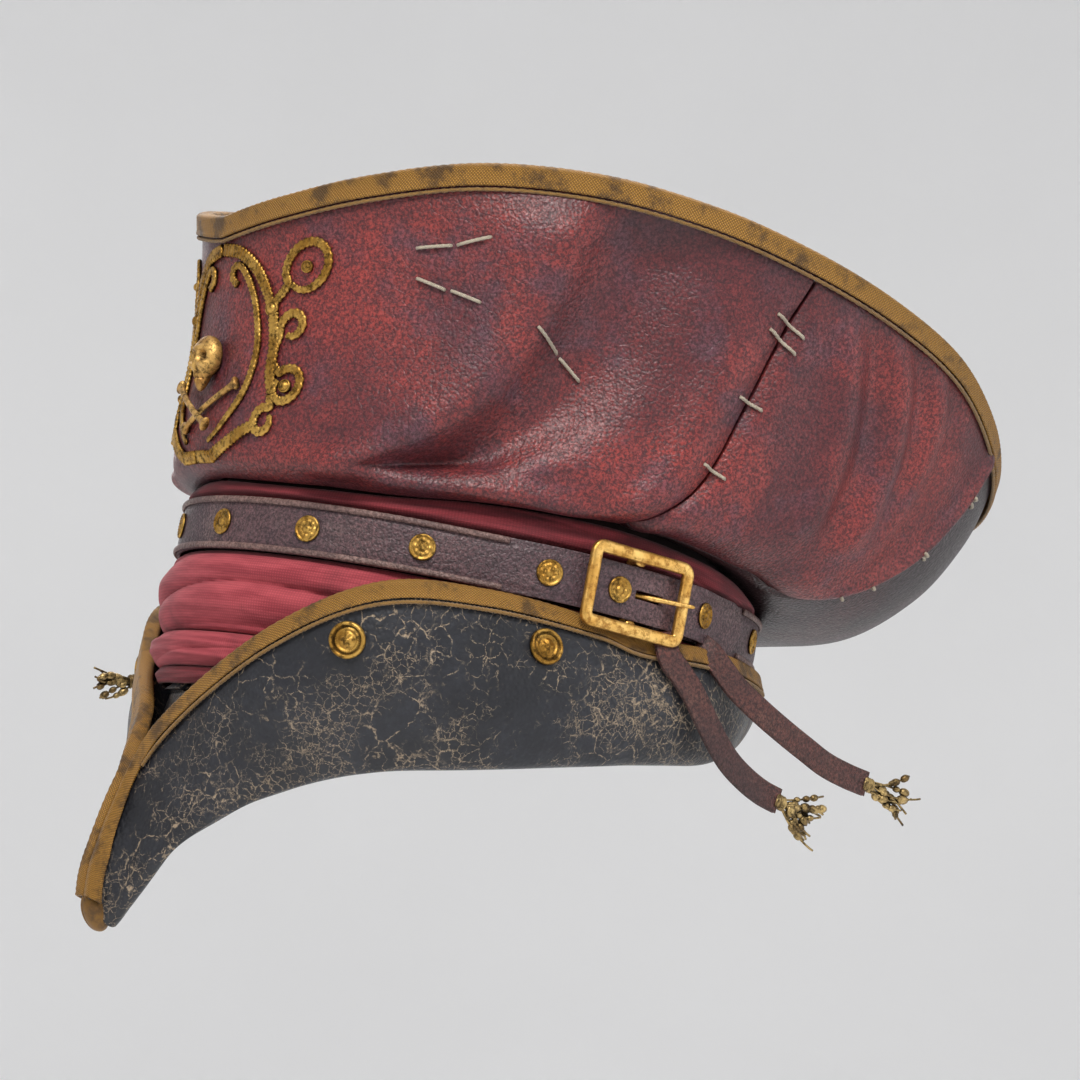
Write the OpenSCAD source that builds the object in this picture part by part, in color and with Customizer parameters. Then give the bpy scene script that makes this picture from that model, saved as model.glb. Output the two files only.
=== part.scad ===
// Soft leather pirate hat: a flared crown over a cloth-wrapped, belted band, with a cocked brim.
// The hat faces -X, +Z is up, and the origin is the centre of the head opening at brow height.

/* [Head and band] */
// Length of the head opening, front to back
opening_length = 203; // [196:1:210]
// Width of the head opening
opening_width = 164; // [158:1:170]
// Thickness of the sweatband leather
sweat_t = 1.2; // [0.8:0.1:1.6]
// Thickness of the stiff foundation cap
foundation_t = 1.8; // [1.2:0.1:2.2]
// Height of the crown of the foundation cap above the brow
foundation_top = 124; // [112:1:130]

/* [Belt] */
// Height of the middle of the belt above the brow
belt_z = 63; // [62:0.5:64]
// Width of the belt strap
belt_w = 19; // [17:0.5:20]
// Thickness of the belt strap
belt_t = 1.8; // [1.4:0.1:2]
// Number of rosette studs around the belt
stud_count = 14; // [10:1:16]
// Diameter of a rosette stud
stud_d = 9.5; // [8:0.5:11]

/* [Buckle] */
// Outer length of the buckle, along the belt
buckle_l = 45; // [42:1:46]
// Outer height of the buckle
buckle_h = 31; // [29:1:32]
// Width of the buckle's outer bars
bar_w = 4.5; // [3.5:0.5:5]
// Diameter of the buckle's hidden centre bar
pivot_d = 2.4; // [2.2:0.1:2.6]

/* [Leather] */
// Thickness of the crown leather
crown_t = 2.2; // [1.6:0.1:2.6]
// Thickness of the brim leather
brim_t = 2.2; // [1.6:0.1:2.4]
// Width of the gold braid on the crown's rim
rim_braid_w = 6.5; // [5:0.5:8]
// Width of the gold braid on the brim's edge
brim_braid_w = 5; // [4:0.5:6]
// Diameter of the thin gold cord beside each braid
piping_d = 1.4; // [1:0.1:1.8]

/* [Trim] */
// Diameter of a brim button
button_d = 13; // [11:0.5:14]
// Width of a leather tie
tie_w = 6.5; // [5:0.5:7]
// Thickness of a leather tie
tie_t = 1.6; // [1.2:0.1:1.8]

/* [Hidden] */

gap = 0.3;                                 // ordinary clearance between neighbouring pieces
head_a = opening_length / 2;
head_b = opening_width / 2;
found_in = sweat_t + 0.2;                  // layers, measured outwards from the head opening
found_out = found_in + foundation_t;
belt_a = 113;                              // ellipse on which the back of the belt lies
belt_b = 94.5;
cloth_a = belt_a - gap;
cloth_b = belt_b - gap;
belt_low = belt_z - belt_w / 2;
belt_high = belt_z + belt_w / 2;
step_t = 9;                                // angle between the stations round the hat

// ---- Small helpers ----
function unit(v) = v / norm(v);
function clamp(v, lo, hi) = max(lo, min(hi, v));
function smooth(f) = let (g = clamp(f, 0, 1)) g * g * (3 - 2 * g);
// Angle folded to 0 at the back and 180 at the front, the same on both sides
function fold_t(t) = acos(cos(t));
// Smooth curve through the points of p, at parameter u from 0 to len(p) - 1
function spline(p, u) =
    let (
        n = len(p) - 1,
        k = clamp(floor(u), 0, n - 1),
        f = u - k,
        a = p[max(0, k - 1)],
        b = p[k],
        c = p[k + 1],
        d = p[min(n, k + 2)]
    )
    0.5 * (2 * b + (c - a) * f + (2 * a - 5 * b + 4 * c - d) * f * f
        + (3 * b - a - 3 * c + d) * f * f * f);
function spline_run(p, steps) = [for (i = [0:steps]) spline(p, i * (len(p) - 1) / steps)];
function reversed(p) = [for (i = [len(p) - 1:-1:0]) p[i]];
function face_volume(p, f) = cross(p[f[0]], p[f[1]]) * p[f[2]];
function sum(list, i = 0) = i >= len(list) ? 0 : list[i] + sum(list, i + 1);
function halves(list) = len(list) <= 200 ? sum(list)
    : halves([for (i = [0:floor(len(list) / 2) - 1]) list[i]])
    + halves([for (i = [floor(len(list) / 2):len(list) - 1]) list[i]]);

// Solid skin through rows of loops. A loop is an outer run of points and an inner run back.
module skin(rows, closed = false) {
    m = len(rows[0]);
    n = len(rows);
    pts = [for (r = rows) for (p = r) p];
    sides = [
        for (i = [0:closed ? n - 1 : n - 2], j = [0:m - 1])
            let (
                a = i * m + j,
                b = i * m + (j + 1) % m,
                c = ((i + 1) % n) * m + (j + 1) % m,
                d = ((i + 1) % n) * m + j
            )
            each [[a, b, c], [a, c, d]]
    ];
    o = (n - 1) * m;
    caps = closed ? [] : [
        for (j = [0:m / 2 - 2])
            each [
                [j + 1, j, m - 1 - j],
                [j + 1, m - 1 - j, m - 2 - j],
                [o + j, o + j + 1, o + m - 1 - j],
                [o + j + 1, o + m - 2 - j, o + m - 1 - j]
            ]
    ];
    faces = concat(sides, caps);
    inside_out = halves([for (f = faces) face_volume(pts, f)]) > 0;
    polyhedron(pts, inside_out ? [for (f = faces) reversed(f)] : faces);
}

// Tube of flattened round section along points, with its flat side facing the given normals
module strap_tube(pts, normals, w, t, sides = 8, closed = false) {
    n = len(pts) - 1;
    skin([
        for (i = [0:n])
            let (
                before = closed ? pts[(i + n) % (n + 1)] : pts[max(0, i - 1)],
                after = closed ? pts[(i + 1) % (n + 1)] : pts[min(n, i + 1)],
                side = unit(cross(after - before, normals[i])),
                up = unit(cross(side, after - before))
            )
            [
                for (k = [0:sides - 1])
                    pts[i] + side * cos((k + 0.5) * 360 / sides) * w / 2
                        + up * sin((k + 0.5) * 360 / sides) * t / 2
            ]
    ], closed);
}

// Ring round the hat: the section is a list of [offset, height] pairs that may depend on t
function ring_pt(a, b, t, out, z) = [(a + out) * cos(t), (b + out) * sin(t), z];

// ---- Head opening, foundation and sweatband ----
// Height of the lower edge of the hat body: level in front, cut up at the nape
function open_z(t) = -2 + 36 * pow((1 + cos(t)) / 2, 2);
dome_start = 68;
function dome_ring(out, f) = [
    for (t = [0:step_t:359])
        let (shrink = pow(cos(f), 0.7))
        [
            (head_a + out) * shrink * cos(t),
            (head_b + out) * shrink * sin(t),
            dome_start + (foundation_top - dome_start + out - found_out) * sin(f)
        ]
];
module foundation_cap() {
    lifts = [0, 1];
    dome = [18, 38, 56, 72, 86];
    inner = concat(
        reversed([for (f = dome) dome_ring(found_in, f)]),
        reversed([
            for (g = lifts)
                [
                    for (t = [0:step_t:359])
                        ring_pt(head_a, head_b, t, found_in, open_z(t) * (1 - g) + dome_start * g)
                ]
        ])
    );
    outer = concat(
        [
            for (g = lifts)
                [
                    for (t = [0:step_t:359])
                        ring_pt(head_a, head_b, t, found_out, open_z(t) * (1 - g) + dome_start * g)
                ]
        ],
        [for (f = dome) dome_ring(found_out, f)]
    );
    color("#4a3a34") skin(concat(inner, outer));
}
module sweatband() {
    low = 1;
    high = 26;
    color("#6b4a38") skin([
        for (t = [0:step_t:359])
            [
                ring_pt(head_a, head_b, t, sweat_t, open_z(t) + low),
                ring_pt(head_a, head_b, t, sweat_t, open_z(t) + high),
                ring_pt(head_a, head_b, t, 0, open_z(t) + high),
                ring_pt(head_a, head_b, t, 0, open_z(t) + low)
            ]
    ], true);
}

// ---- Crown ----
// Height of the crown's lower edge and of its rim every 15 degrees, from the back to the front
CROWN_LOW = [71, 71, 74, 79, 83, 85, 86, 85, 83, 80, 79, 79, 80];
CROWN_RIM = [140, 143, 151, 164, 178, 187, 194, 199, 200, 196, 187, 178, 172];
// Rings of the crown from its base to its rim: centre x, half length, half width, rise of the
// front and rise of the back, both as a share of the height between lower edge and rim
CROWN_RINGS = [
    [0.5, 105.8, 86.6, 0.03, 0.05],
    [8.5, 121.5, 100, 0.0, 0.0],
    [19, 141, 109, 0.06, 0.12],
    [31.5, 155.5, 113, 0.2, 0.42],
    [40, 163, 118, 0.48, 0.72],
    [41, 167, 124, 0.78, 0.9],
    [39.5, 169.5, 128, 1.0, 1.0]
];
rim_k = len(CROWN_RINGS) - 1;
// Angle of the side seams at ring k, counted from the back
function side_seam_t(k) = 94 - 6 * smooth((k - 3.6) / 2.8);
gusset_t = 36.5;                           // half angle of the rear gusset at the rim
function crown_pt(k, t) =
    let (
        r = spline(CROWN_RINGS, k),
        low = spline(CROWN_LOW, fold_t(t) / 15),
        rim = spline(CROWN_RIM, fold_t(t) / 15),
        back = pow(max(0, cos(t)), 2),
        rise = r[3] + (r[4] - r[3]) * back
    )
    [r[0] + r[1] * cos(t), r[2] * sin(t), low + rise * (rim - low)];
function crown_normal(k, t) =
    let (e = 0.02, kk = clamp(k, e, rim_k - e))
    unit(cross(
        crown_pt(kk, t + 1) - crown_pt(kk, t - 1),
        crown_pt(kk + e, t) - crown_pt(kk - e, t)
    ));
// Ring that lies the given distance below the rim, measured down the leather
function rim_drop_k(t, drop) = rim_k - drop / norm(crown_pt(rim_k - 1, t) - crown_pt(rim_k, t));
function crown_at(k, t, out) = crown_pt(k, t) + out * crown_normal(k, t);
// Ring at which the gusset's seam crosses angle t
function gusset_seam_k(t) = 0.9 + 5.1 * smooth((54 - abs(t)) / 19);
seam_gap_t = 0.15;
seam_gap_k = 0.02;
// Closed loop across the leather through the given list of [ring, angle] pairs
function leather_loop(run) = concat(
    [for (q = run) crown_at(q[0], q[1], 0)],
    [for (q = reversed(run)) crown_at(q[0], q[1], -crown_t)]
);
function steps_between(a, b, n) = [for (i = [0:n]) a + (b - a) * i / n];
module crown_front_panel() {
    color("#8c3a40") skin([
        for (f = steps_between(0, 1, 33))
            leather_loop([
                for (k = steps_between(0, rim_k, 9))
                    let (start = side_seam_t(k) + seam_gap_t)
                    [k, start + (360 - 2 * start) * f]
            ])
    ]);
}
// Angles at which the back panels and the gusset share their stations
SEAM_T = [37.5, 39, 40.5, 42, 43.5, 45, 46.5, 48, 49.5, 51, 53, 55.5];
seam_end_t = SEAM_T[len(SEAM_T) - 1];
// Loop of the back panel at angle t, or at share f of the way from there to the side seam
module crown_back(side) {
    skin(concat(
        [for (t = SEAM_T) leather_loop([
            for (k = steps_between(gusset_seam_k(t) + seam_gap_k, rim_k, 7)) [k, side * t]
        ])],
        [for (f = steps_between(0.2, 1, 4)) leather_loop([
            for (k = steps_between(gusset_seam_k(seam_end_t) + seam_gap_k, rim_k, 7))
                [k, side * (seam_end_t + (side_seam_t(k) - seam_gap_t - seam_end_t) * f)]
        ])]
    ));
}
module crown_back_left() {
    color("#8c3a40") crown_back(-1);
}
module crown_back_right() {
    color("#8c3a40") crown_back(1);
}
module crown_rear_gusset() {
    half = side_seam_t(0) - seam_gap_t;
    one_side = concat(SEAM_T, steps_between(seam_end_t + 7, half, 4));
    color("#6b2c33") skin([
        for (t = concat([for (q = reversed(one_side)) -q], steps_between(-36, 36, 10), one_side))
            leather_loop([
                for (k = steps_between(0, gusset_seam_k(t) - seam_gap_k, 7)) [k, t]
            ])
    ]);
}
module crown_top_panel() {
    recess = 10;
    middle = [33, 0, 158];
    sag = 10;
    edge = [for (t = [0:step_t:359]) crown_at(rim_drop_k(t, recess), t, -crown_t - 1.2)];
    shares = [0.03, 0.35, 0.7, 1];
    top = [for (f = shares) [for (p = edge) middle + f * (p - middle) - [0, 0, sag * (1 - f * f)]]];
    under = [for (r = top) [for (p = r) p - [0, 0, crown_t]]];
    color("#5a2630") skin(concat(top, reversed(under)));
}
module crown_rim_braid() {
    t_out = 1.2;
    play = 0.9;
    color("#96703a") skin([
        for (t = [0:step_t:359])
            let (
                p = crown_pt(rim_k, t),
                n = crown_normal(rim_k, t),
                d = unit(crown_pt(rim_k - 0.3, t) - p)
            )
            [
                p + n * (play + t_out) + d * rim_braid_w,
                p + n * (play + t_out) - d * (0.3 + t_out),
                p - n * (crown_t + play + t_out) - d * (0.3 + t_out),
                p - n * (crown_t + play + t_out) + d * rim_braid_w,
                p - n * (crown_t + play) + d * rim_braid_w,
                p - n * (crown_t + play) - d * 0.3,
                p + n * play - d * 0.3,
                p + n * play + d * rim_braid_w
            ]
    ], true);
}
module crown_rim_piping() {
    below = rim_braid_w + 1.4;
    ts = [for (t = [0:step_t:359]) t];
    pts = [
        for (t = ts)
            let (p = crown_pt(rim_k, t))
            p + unit(crown_pt(rim_k - 0.3, t) - p) * below + crown_normal(rim_k, t) * (piping_d / 2 + 2 * gap)
    ];
    color("#b08a45") strap_tube(pts, [for (t = ts) crown_normal(rim_k, t)], piping_d, piping_d, 6, true);
}

// ---- Stitches ----
// One thread lying across a seam: its middle [k, t], its run in k and in degrees
module thread_stitch(k, t, dk, dt, d = 1.6) {
    n = 4;
    pts = [
        for (i = [0:n])
            let (f = i / n - 0.5)
            crown_at(k + dk * f, t + dt * f, d / 2 + 0.1 + 0.5 * cos(180 * f))
    ];
    strap_tube(pts, [for (p = pts) crown_normal(k, t)], d, d, 6);
}
// Stitches on a side seam: ring, run in k, run in degrees
SIDE_STITCHES = [[4.9, -0.15, 4.2], [4.7, -0.15, 4.2], [3.97, -0.06, 3.6], [3.13, -0.11, 4]];
module side_stitches(side) {
    for (s = SIDE_STITCHES)
        thread_stitch(s[0], side * side_seam_t(s[0]), s[1], -side * s[2]);
}
module side_seam_stitches_left() {
    color("#d8c9aa") side_stitches(-1);
}
module side_seam_stitches_right() {
    color("#d8c9aa") side_stitches(1);
}
// Stitches on a gusset seam: ring, angle, run in degrees
GUSSET_STITCHES = [[1.9, 49.5, 3.4], [2.35, 48, 3], [3.2, 45, 5], [4.3, 42, 4.6]];
module gusset_stitches(side) {
    for (s = GUSSET_STITCHES)
        thread_stitch(s[0], side * s[1], 0.05, side * s[2]);
}
module gusset_stitches_left() {
    color("#d8c9aa") gusset_stitches(-1);
}
module gusset_stitches_right() {
    color("#d8c9aa") gusset_stitches(1);
}
// Darning stitches on the left side: ring, angle, run in k, run in degrees
DARNING = [
    [4.93, -140, 0.01, 4.9],
    [4.99, -134.6, 0.1, 4.3],
    [4.54, -139.5, -0.12, 4.3],
    [4.42, -134.3, -0.1, 4.2],
    [4.08, -122.2, -0.22, 3.7],
    [3.84, -117.8, -0.18, 3.8]
];
module crown_darning_stitches() {
    color("#d8c9aa")
    for (s = DARNING)
        thread_stitch(s[0], s[1], s[2], s[3]);
}

// ---- Cloth wraps ----
// Ring of folded cloth between heights low(t) and high(t), puffed out to the given share
module cloth_ring(lows, highs, outs, t0, t1, closed) {
    stations = closed ? [for (t = [0:step_t:359]) t] : [for (i = [0:32]) t0 + (t1 - t0) * i / 32];
    skin([
        for (t = stations)
            let (
                u = fold_t(t) / 45,
                low = spline(lows, u),
                high = spline(highs, u),
                out = spline(outs, u),
                h = high - low
            )
            [
                ring_pt(head_a, head_b, t, found_out + gap, low),
                [(cloth_a + out * 0.3) * cos(t), (cloth_b + out * 0.3) * sin(t), low + 0.05 * h],
                [(cloth_a + out) * cos(t), (cloth_b + out) * sin(t), low + 0.35 * h],
                [(cloth_a + out) * cos(t), (cloth_b + out) * sin(t), low + 0.7 * h],
                [cloth_a * cos(t), cloth_b * sin(t), high],
                ring_pt(head_a, head_b, t, found_out + gap, high)
            ]
    ], closed);
}
module bandana_upper_wrap() {
    low = belt_low + 0.5;
    color("#5f1a26") cloth_ring([low, low, low, low, low], [72, 75, 79, 76, 76], [0, 0, 0, 0, 0],
        0, 360, true);
}
module bandana_main_wrap() {
    high = belt_low;
    color("#c25a68") cloth_ring([40, 37, 28, 24, 24], [high, high, high, high, high],
        [0, 0, 0, 3, 4], 0, 360, true);
}
module bandana_lower_fold() {
    color("#b04a5a") cloth_ring([14, 14, 14, 12, 11], [25, 25, 25, 23.7, 23.7], [0, 0, -2, 2, 3.5],
        88, 272, false);
}
module bandana_under_fold() {
    color("#6e2230") cloth_ring([9.6, 9.6, 9.6, 7, 4.5], [13.6, 13.6, 13.6, 11.7, 10.7],
        [-2, -2, -3, -1, 0], 96, 264, false);
}
// ---- Belt ----
buckle_t = -87;                            // angle of the buckle's middle round the belt
tail_t = -53;                              // angle of the tip of the strap's tail
lift_n = 6.2;                              // height at which the tail crosses the centre bar
pivot_n = 3.2;                             // height of the centre bar above the back of the belt
function belt_normal(t) = unit([cos(t) / belt_a, sin(t) / belt_b, 0]);
function belt_pt(t, n, z) = [belt_a * cos(t), belt_b * sin(t), z] + n * belt_normal(t);
buckle_mid = belt_pt(buckle_t, 0, belt_z);
buckle_out = belt_normal(buckle_t);
buckle_rear = cross([0, 0, 1], buckle_out);
// Point in the buckle's own frame: along the belt to the rear, outwards, up
function buckle_pt(s, n, z) = buckle_mid + s * buckle_rear + n * buckle_out + [0, 0, z];
module in_buckle_frame() {
    multmatrix([
        [buckle_rear[0], buckle_out[0], 0, buckle_mid[0]],
        [buckle_rear[1], buckle_out[1], 0, buckle_mid[1]],
        [0, 0, 1, buckle_mid[2]],
        [0, 0, 0, 1]
    ]) children();
}
// Height of the strap's back above the belt line at angle t, from the chape round to the tail
function strap_lift(t) =
    t < buckle_t - 30 ? 0
    : t < buckle_t - 8 ? lift_n * smooth((t - buckle_t + 30) / 22)
    : t < buckle_t + 14 ? lift_n
    : lift_n - (lift_n - belt_t - gap) * smooth((t - buckle_t - 14) / 12);
prong_slot = [0.5, 12.6, 3.2];              // start, end and height of the slot in the tail
module strap_run(t0, t1, count) {
    skin([
        for (i = [0:count])
            let (
                t = t0 + (t1 - t0) * i / count,
                tip = clamp((tail_t - t) / 5, 0, 1),
                half = (belt_w / 2) * (t1 == tail_t ? sqrt(1 - pow(1 - tip, 2) * 0.94) : 1),
                n = strap_lift(t)
            )
            [
                belt_pt(t, n + belt_t, belt_z + half),
                belt_pt(t, n + belt_t, belt_z - half),
                belt_pt(t, n, belt_z - half),
                belt_pt(t, n, belt_z + half)
            ]
    ]);
}
chape_end_t = buckle_t - 360 + 7.5;        // angle where the strap meets its folded chape
module belt_strap() {
    color("#62484e") difference() {
        strap_run(chape_end_t + 0.2, tail_t, 80);
        in_buckle_frame()
            translate([prong_slot[0], lift_n - 2, -prong_slot[2] / 2])
                cube([prong_slot[1] - prong_slot[0], belt_t + 4, prong_slot[2]]);
    }
}
// End of the strap, folded round the centre bar and split for the prong's eye
module belt_chape() {
    r_in = pivot_d / 2 + 0.1;
    r_out = 2.6;
    upper_leg = 9;
    lower_leg = 14;
    slot = [9, 5.4];
    color("#4e383e") in_buckle_frame()
    difference() {
        translate([0, 0, -belt_w / 2 + 1]) linear_extrude(belt_w - 2) translate([0, pivot_n]) {
            difference() {
                circle(r = r_out, $fn = 40);
                circle(r = r_in, $fn = 32);
                translate([0, -10]) square([20, 20]);
            }
            translate([0, r_in]) square([upper_leg, r_out - r_in]);
            translate([0, -r_out]) square([lower_leg, r_out - r_in]);
        }
        translate([-8, -4, -slot[1] / 2]) cube([8 + slot[0], 20, slot[1]]);
    }
}
module belt_edge_welts() {
    welt_w = 2.2;
    welt_h = 1.0;
    color("#93767a")
    for (side = [-1, 1])
        skin([
            for (i = [0:56])
                let (
                    t = buckle_t - 324 + 300 * i / 56,
                    n = strap_lift(t) + belt_t + 0.15,
                    z = belt_z + side * (belt_w / 2 - welt_w / 2)
                )
                [
                    belt_pt(t, n, z - welt_w / 2),
                    belt_pt(t, n + welt_h, z - welt_w / 4),
                    belt_pt(t, n + welt_h, z + welt_w / 4),
                    belt_pt(t, n, z + welt_w / 2)
                ]
        ]);
}
// One cast rosette stud, standing on the strap
module rosette_stud() {
    r = stud_d / 2;
    rotate_extrude($fn = 24)
        polygon([
            [0, 0], [r, 0], [r, 0.6], [r - 0.5, 1.1], [r - 1.1, 0.9], [r - 1.6, 0.6],
            [1.4, 0.6], [1.2, 1.2], [0, 1.5]
        ]);
}
// Outward direction of the strap's face at angle t
function strap_normal(t) = unit(cross(
    belt_pt(t + 1, strap_lift(t + 1), 0) - belt_pt(t - 1, strap_lift(t - 1), 0),
    [0, 0, 1]
));
first_stud_t = -103.3;
last_stud_t = -401.6;
tail_studs_t = [-90.2, -69.4];             // the stud inside the buckle and the one behind it
module belt_studs() {
    ring = steps_between(first_stud_t, last_stud_t, stud_count - 1);
    color("#b3924c")
    for (t = concat(ring, tail_studs_t))
        let (n = strap_normal(t))
        translate(belt_pt(t, strap_lift(t) + belt_t, belt_z) + n * gap)
            rotate([0, 90, atan2(n[1], n[0])])
                rosette_stud();
}

// ---- Buckle ----
bar_n = lift_n + belt_t + 0.3;             // underside of the outer bars
bar_t = 2.8;
cheek_out = 13;                            // height of the cheeks' ends above the belt line
cheek_w = 3.1;
module rounded_plate(l, h, r, t) {
    linear_extrude(t) hull()
        for (x = [-1, 1], y = [-1, 1])
            translate([x * (l / 2 - r), y * (h / 2 - r)]) circle(r = r, $fn = 32);
}
module buckle_frame() {
    color("#d0ac55") in_buckle_frame() {
        translate([0, bar_n + bar_t, 0]) rotate([90, 0, 0]) difference() {
            rounded_plate(buckle_l, buckle_h, 3.5, bar_t);
            translate([0, 0, -1])
                rounded_plate(buckle_l - 2 * bar_w, buckle_h - 2 * bar_w, 1.6, bar_t + 2);
        }
        // Centre bar and the two cheeks that carry it
        translate([0, pivot_n, -cheek_out]) cylinder(h = 2 * cheek_out, d = pivot_d, $fn = 32);
        for (low = [-cheek_out, cheek_out - cheek_w])
            translate([-2, pivot_n - 1.2, low])
                cube([4, bar_n - pivot_n + 1.4, cheek_w]);
    }
}
prong_d = 2;
prong_tilt = atan2(bar_n + bar_t + prong_d / 2 + 0.3 - pivot_n, buckle_l / 2 - bar_w);
module buckle_prong() {
    eye_d = 5.2;
    eye_w = 4;
    run = (buckle_l / 2 - 0.2) / cos(prong_tilt);
    color("#dcbc66") in_buckle_frame() translate([0, pivot_n, 0]) difference() {
        union() {
            translate([0, 0, -eye_w / 2]) cylinder(h = eye_w, d = eye_d, $fn = 40);
            rotate([0, 0, prong_tilt]) rotate([0, 90, 0]) cylinder(h = run, d = prong_d, $fn = 32);
        }
        translate([0, 0, -eye_w]) cylinder(h = 2 * eye_w, d = pivot_d + 0.08, $fn = 32);
    }
}

// ---- Brim ----
// Stations along one side, from the front tip to the back: fold line and top edge
BRIM_FOLD = [
    [-120, 1, -80], [-118, 9, -73], [-114, 24, -54], [-103, 42, -37], [-87, 60, -24], [-68, 77, -14],
    [-39, 92, -6], [5, 98, 4], [26, 96.5, 8], [52, 88, 12], [74, 75, 19.5], [98, 48, 31], [108, 22, 35],
    [112, 0.5, 36.5]
];
BRIM_EDGE = [
    [-130, 1, -84], [-131, 1, -62], [-123, 1.5, -29], [-117, 22, -2], [-107, 60, 26], [-86, 87, 45],
    [-50, 95.5, 50.3], [-9, 97.2, 49.6], [11, 96.5, 46.8], [43, 91.5, 49.8], [72, 76, 50.8], [96, 53, 50.5],
    [111, 24, 50], [115, 0.5, 49.5]
];
// Top edge of the right flap's front, where it leans further back
FAR_EDGE = [[-111, 22, -7], [-98, 57, 14], [-84, 82, 38]];
// Angle of each station round the head opening
BRIM_T = [180, 172, 163, 152, 138, 124, 106, 88, 76, 60, 44, 26, 11, 0];
last_u = len(BRIM_T) - 1;
FAR_FULL = [for (i = [0:last_u]) i > 2 && i < 6 ? FAR_EDGE[i - 3] : BRIM_EDGE[i]];
brim_belly = 6;                            // how far the flap swells outwards between its edges
far_lift = 11;                             // how much higher the fold of the right flap lies
function brim_section(u, far) =
    let (
        t = spline(BRIM_T, u),
        raw = spline(BRIM_FOLD, u),
        lift = far ? far_lift * smooth((u - 4) / 3) * smooth((last_u - u) / 4) : 0,
        low = raw + [0, 0, lift],
        edge = spline(far ? FAR_FULL : BRIM_EDGE, u),
        root_out = found_out + brim_t + 2 * gap,
        root = ring_pt(head_a, head_b, t, root_out, open_z(t) + 4),
        throat = [root[0], root[1], open_z(t) - 1],
        out = unit([edge[0] / (head_a * head_a), edge[1] / (head_b * head_b), 0]),
        swell = brim_belly * smooth((u - 1) / 4) * (u > 8 ? 1 - 0.4 * smooth((u - 8) / 3) : 1)
    )
    [root, throat, low, (low + edge) / 2 + swell * out, edge];
function brim_raw(u, v, far) =
    let (p = spline(brim_section(u, far), v))
    [p[0], max(0.4, p[1]), p[2]];
function brim_normal(u, v, far) =
    let (
        e = 0.03,
        uu = clamp(u, e, last_u - e),
        vv = clamp(v, e, 4 - e),
        c = cross(
            brim_raw(uu, vv + e, far) - brim_raw(uu, vv - e, far),
            brim_raw(uu + e, vv, far) - brim_raw(uu - e, vv, far)
        )
    )
    norm(c) < 0.000001 ? [-1, 0, 0] : c / norm(c);
function brim_at(u, v, out, far) =
    let (p = brim_raw(u, v, far) + out * brim_normal(u, v, far))
    [p[0], max(0.4, p[1]), p[2]];
function side_of(p, far) = far ? p : [p[0], -p[1], p[2]];
brim_rows = concat([0.4], steps_between(0.75, last_u, 40));
BRIM_V = [0, 0.9, 1.4, 1.8, 2.2, 2.65, 3.1, 3.55, 4];
module brim_flap(far) {
    skin([
        for (u = brim_rows)
            concat(
                [for (v = BRIM_V) side_of(brim_at(u, v, brim_t, far), far)],
                [for (v = reversed(BRIM_V)) side_of(brim_at(u, v, 0, far), far)]
            )
    ]);
}
module brim_left() {
    color("#33353d") brim_flap(false);
}
module brim_right() {
    color("#33353d") brim_flap(true);
}
module brim_braid(far) {
    t_out = 1.2;
    skin([
        for (u = [for (i = [1:len(brim_rows) - 1]) brim_rows[i]])
            let (
                p = brim_raw(u, 4, far),
                n = brim_normal(u, 4, far),
                d = unit(brim_raw(u, 3.7, far) - p),
                play = 0.6 + 1.3 * smooth(3 - u),
                loop = [
                    p + n * (brim_t + play + t_out) + d * brim_braid_w,
                    p + n * (brim_t + play + t_out) - d * (0.3 + t_out),
                    p - d * (0.3 + t_out),
                    p - d * 0.3,
                    p + n * (brim_t + play) - d * 0.3,
                    p + n * (brim_t + play) + d * brim_braid_w
                ]
            )
            [for (q = loop) side_of([q[0], max(0.4, q[1]), q[2]], far)]
    ]);
}
module brim_braid_left() {
    color("#96703a") brim_braid(false);
}
module brim_braid_right() {
    color("#96703a") brim_braid(true);
}
module brim_piping(far) {
    below = brim_braid_w + 1.6;
    us = steps_between(2.2, last_u, 40);
    pts = [
        for (u = us)
            let (
                p = brim_raw(u, 4, far),
                d = unit(brim_raw(u, 3.7, far) - p)
            )
            side_of(p + d * below + brim_normal(u, 3.8, far) * (brim_t + piping_d / 2 + 2 * gap), far)
    ];
    strap_tube(pts, [for (u = us) side_of(brim_normal(u, 3.8, far), far)], piping_d, piping_d, 6);
}
module brim_piping_left() {
    color("#b08a45") brim_piping(false);
}
module brim_piping_right() {
    color("#b08a45") brim_piping(true);
}
// Ringed button with a domed middle, standing on the flap
module brim_button() {
    r = button_d / 2;
    rotate_extrude($fn = 32)
        polygon([
            [0, 0], [r, 0], [r, 1.2], [r - 0.8, 2], [r - 1.6, 1.4], [r - 2.2, 1.4],
            [r - 2.8, 2.1], [r - 3.4, 1.4], [1.6, 1.5], [1, 2.3], [0, 2.5]
        ]);
}
BUTTON_U = [4.7, 6.5];                     // stations of the two buttons on each flap
module brim_buttons(far) {
    v = far ? 3.2 : 3.4;
    for (u = BUTTON_U)
        let (
            p = side_of(brim_at(u, v, brim_t + 0.25, far), far),
            n = side_of(brim_normal(u, v, far), far)
        )
        translate(p)
            rotate([0, acos(n[2]), atan2(n[1], n[0])])
                brim_button();
}
module brim_buttons_left() {
    color("#b3924c") brim_buttons(false);
}
module brim_buttons_right() {
    color("#b3924c") brim_buttons(true);
}

// ---- Emblem ----
// Ring of the crown's front centreline at height h
function front_k(h) =
    let (hits = [for (i = [2:0.25:6]) [crown_pt(i, 180)[2], i]])
    lookup(h, hits);
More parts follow.
